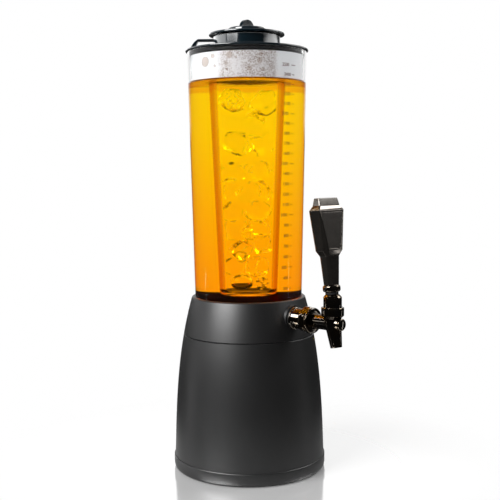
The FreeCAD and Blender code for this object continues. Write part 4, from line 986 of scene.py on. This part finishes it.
def misted(recipe):
    """Fine drops with gaps between them."""
    drops = recipe.cells(MIST_CELLS)
    cloud = recipe.grain(MIST_CELLS / 9, 4.0, 0.65)
    share = drops.between(0.15, 0.6) * 0.5 + cloud * 0.9
    thick = cloud.between(0.35, 0.65)
    return {
        "Base Color": recipe.blend(thick, rgb(0.72, 0.66, 0.63), rgb(0.98, 0.97, 0.98)),
        "Roughness": 0.55,
        "Alpha": share.between(DROP_EDGE - 0.18, DROP_EDGE + 0.2),
        "Normal": recipe.bump(drops, 0.0002),
    }


def fogged(recipe):
    """White fog, with a band of painted shade and specks down its middle as the camera sees it."""
    drops = recipe.cells(640.0)
    cloud = recipe.grain(70.0, 4.0, 0.65)
    across = recipe.along(recipe.place(), ACROSS)
    # Painted shade: a band square to the camera, on the near and the far wall alike, is darker and
    # brownish; the specks in it are drops.
    shade_band = across.between(*SHADE_BAND_LEFT) * across.between(*SHADE_BAND_RIGHT, 1.0, 0.0)
    speck = drops.between(0.25, 0.7, 1.0, 0.0) * cloud.between(0.3, 0.6)
    shade = shade_band * (0.3 + 0.7 * speck)
    return {
        "Base Color": recipe.blend(shade, rgb(0.97, 0.98, 1.0), rgb(0.36, 0.28, 0.25)),
        "Roughness": 0.36,
        "Transmission Weight": 0.25,
        "IOR": 1.2,
        "Specular Tint": rgb(0.3, 0.3, 0.3),
    }


def film(recipe):
    """The skin of a bubble, with painted shade where it is seen edge on."""
    # Painted shade: each bubble's rim, seen edge on, is coloured darker.
    edge = recipe.edge_on().between(0.25, 0.8)
    return {
        "Base Color": recipe.blend(edge, rgb(0.86, 0.80, 0.76), rgb(0.50, 0.42, 0.36)),
        "Roughness": 0.15,
        "Transmission Weight": 1.0,
        "IOR": 1.03,
    }


finish("mist", misted)
finish("fog", fogged)
finish("bubble_film", film)

# %% The mist and the fog
WET_TOP, SLEEVE = 455.0, 0.2        # millimetres
MIST_OFF_TUBE, FOG_OFF_WALL = 0.25, 1.8


def mist_radius(height):
    return tube_radius(height) + MIST_OFF_TUBE


def fog_radius(height):
    return vessel_bore(height) - FOG_OFF_WALL


def wall_sleeve(radius_at, foot):
    """A thin closed sleeve whose inside follows a radius, in millimetres."""
    inside = [(radius_at(foot), foot), (radius_at(WET_TOP), WET_TOP)]
    outside = [(radius + SLEEVE, height) for radius, height in reversed(inside)]
    return spin_outline(inside + outside, closed=True)


mist = wall_sleeve(mist_radius, SURFACE + 2)
make_piece("mist_on_tube", mist, ["mist"], "ice_insert")
fog = wall_sleeve(fog_radius, SURFACE + 1.6)
make_piece("fog_on_vessel", fog, ["fog"], "tower")

# %% Bubbles on the wall
CAMERA_SIDE = -135.0        # degrees from +X to where the camera stands
FLAT, OFF_WALL = 0.55, 0.85     # half a bubble's thickness, its middle's distance from the wall
FLAT_BUBBLES = [            # degrees from the camera's side, height, radius
    (-44.0, 445.0, 5.2), (-34.5, 450.2, 2.3), (-16.7, 450.3, 3.4), (-20.3, 442.1, 1.9),
    (12.1, 444.1, 2.7), (2.4, 436.4, 2.5), (13.1, 450.7, 2.1), (-32.3, 439.8, 1.4),
    (-19.4, 435.9, 1.3), (15.5, 435.5, 1.7), (-10.4, 447.8, 1.3),
]
foam = bmesh.new()
for degrees, height, radius in FLAT_BUBBLES:
    bubble = small_ball(radius, (0, 0, 0), (FLAT / radius, 1.0, 1.0))
    turn = math.radians(degrees + CAMERA_SIDE)
    turned = Matrix.Rotation(turn, 3, "Z")
    bmesh.ops.rotate(bubble, verts=bubble.verts, cent=(0, 0, 0), matrix=turned)
    out = (vessel_bore(height) - OFF_WALL) / 1000
    place = (out * math.cos(turn), out * math.sin(turn), height / 1000)
    bmesh.ops.translate(bubble, verts=bubble.verts, vec=place)
    add_mesh(foam, bubble)
make_piece("foam_bubbles", foam, ["bubble_film"], "tower")

# %% [markdown]
# ## Floor, light and camera
# The tower stands on a pale, half mirrored floor that fades into white. Large soft lamps light
# it: one at the left draws the broad highlight down the stand, one overhead brings out the lids,
# and one at the right gives the tap and the handle their light edges. Two narrow strips stand low
# at the sides, for fine lines in the chrome, and a long flat panel at the right draws a line on
# the lid.
#
# The world is white to the eye and through glass. For reflections it is nearly black all round,
# with a bright wall straight behind the tower and one bright window at the back left, because a
# dark gloss shows its shape by where the reflections stop.

# %% The floor
FLOOR_RADIUS = 0.8
FADE_FROM, FADE_TO = 0.13, 0.33     # metres from the tower's axis


def floor_paint(recipe):
    """A pale mirror near the stand, which fades out further away."""
    length = {"operation": "LENGTH"}
    away = recipe.node("ShaderNodeVectorMath", length, {0: recipe.place()}, "Value")
    return {
        "Base Color": rgb(0.82, 0.82, 0.82),
        "Metallic": 0.58,
        "Roughness": 0.12,
        "Alpha": away.between(FADE_FROM, FADE_TO, 0.9, 0.0),
    }


finish("floor", floor_paint)
floor_mesh = bmesh.new()
bmesh.ops.create_circle(floor_mesh, cap_ends=True, segments=96, radius=FLOOR_RADIUS)
floor_data = bpy.data.meshes.new("floor")
floor_mesh.to_mesh(floor_data)
floor_mesh.free()
floor_data.materials.append(FINISHES["floor"])
floor = bpy.data.objects.new("floor", floor_data)
bpy.context.scene.collection.objects.link(floor)

# %% The lamps
LAMPS = {       # place, what it points at, width, height, watts
    "left_softbox": ((-1.38, 0.14, 1.06), (0.0, 0.0, 0.15), 1.1, 0.76, 42.0),
    "top_softbox": ((0.25, 0.25, 1.6), (0.0, 0.0, 0.25), 1.2, 1.2, 1.2),
    "right_softbox": ((0.85, -0.60, 1.0), (0.0, -0.12, 0.29), 0.6, 0.45, 6.5),
    "left_strip": ((-0.72, 1.08, -0.12), (0.0, -0.12, 0.22), 0.04, 0.35, 0.3),
    "right_strip": ((1.10, -0.98, -0.12), (0.0, -0.12, 0.22), 0.04, 0.35, 0.13),
    "right_panel": ((0.79, -0.62, 0.61), (0.0, 0.0, 0.47), 1.6, 0.05, 0.9),
}
for name, (place, aim, width, height, watts) in LAMPS.items():
    data = bpy.data.lights.new(name, "AREA")
    data.shape, data.size, data.size_y, data.energy = "RECTANGLE", width, height, watts
    lamp = bpy.data.objects.new(name, data)
    bpy.context.scene.collection.objects.link(lamp)
    lamp.location = place
    lamp.rotation_euler = (Vector(place) - Vector(aim)).to_track_quat("Z", "Y").to_euler()
print("lamps:", len(LAMPS))

# %% The world
AMBIENT = 0.45              # strength for matt surfaces
WINDOW_STRENGTH, UPPER_STRENGTH = 3.0, 0.4
BEHIND, WINDOW = (0.70711, 0.70711, 0.0), (-0.326, 0.946, 0.0)
world = bpy.data.worlds.new("studio")
bpy.context.scene.world = world
sky = Recipe(world)
direction = sky.node("ShaderNodeTexCoord", output="Generated")
height = sky.axis(direction, "Z")
behind = sky.along(direction, BEHIND)
dim = behind.between(-0.2, 0.7, 0.02, 0.04)
wall = behind.between(0.8, 0.97, 0.0, 0.9) * height.between(0.02, 0.05)
upper_wall = behind.between(0.5, 0.7) * height.between(0.24, 0.30)
window_height = height.between(0.11, 0.13) * height.between(0.17, 0.20, 1.0, 0.0)
window = sky.along(direction, WINDOW).between(0.70, 0.80) * window_height
above_floor = height.between(-0.15, 0.1, 0.6, 1.0)
reflected = (dim + wall) * above_floor + WINDOW_STRENGTH * window + UPPER_STRENGTH * upper_wall
seen, through, glossy = (
    sky.node("ShaderNodeLightPath", output=ray)
    for ray in ("Is Camera Ray", "Is Transmission Ray", "Is Glossy Ray")
)
plain = seen.math("MAXIMUM", seen, through)
strength = plain + (1 - plain) * (glossy * reflected + (1 - glossy) * AMBIENT)
light = sky.node("ShaderNodeBackground", None, {"Color": rgb(*WHITE), "Strength": strength})
sky.node("ShaderNodeOutputWorld", None, {"Surface": light})

# %% [markdown]
# ## The camera
# The camera stands a metre away, off the tower's left front corner, a little above its middle,
# and looks slightly down. Light crosses many clear surfaces here, so it is followed for more
# bounces than usual.

# %% The camera
CAMERA_PLACE = (-0.70711, -0.70711, 0.332)
CAMERA_HEADING, CAMERA_TILT, CAMERA_ROLL = -45.0, -5.08, -0.4
SENSOR, LENS, SHIFT = 36.0, 64.8, 0.0036
BOUNCES = 24
view = bpy.data.cameras.new("camera")
view.sensor_width, view.lens, view.shift_x = SENSOR, LENS, SHIFT
view.clip_start = 0.01
camera = bpy.data.objects.new("camera", view)
bpy.context.scene.collection.objects.link(camera)
turn = (
    Matrix.Rotation(math.radians(CAMERA_HEADING), 4, "Z")
    @ Matrix.Rotation(math.radians(90 + CAMERA_TILT), 4, "X")
    @ Matrix.Rotation(math.radians(CAMERA_ROLL), 4, "Z")
)
camera.matrix_world = Matrix.Translation(CAMERA_PLACE) @ turn
scene = bpy.context.scene
scene.camera = camera
scene.view_settings.view_transform = "Standard"
scene.cycles.max_bounces = BOUNCES
scene.cycles.transmission_bounces = BOUNCES
scene.cycles.glossy_bounces = BOUNCES
scene.cycles.transparent_max_bounces = 16
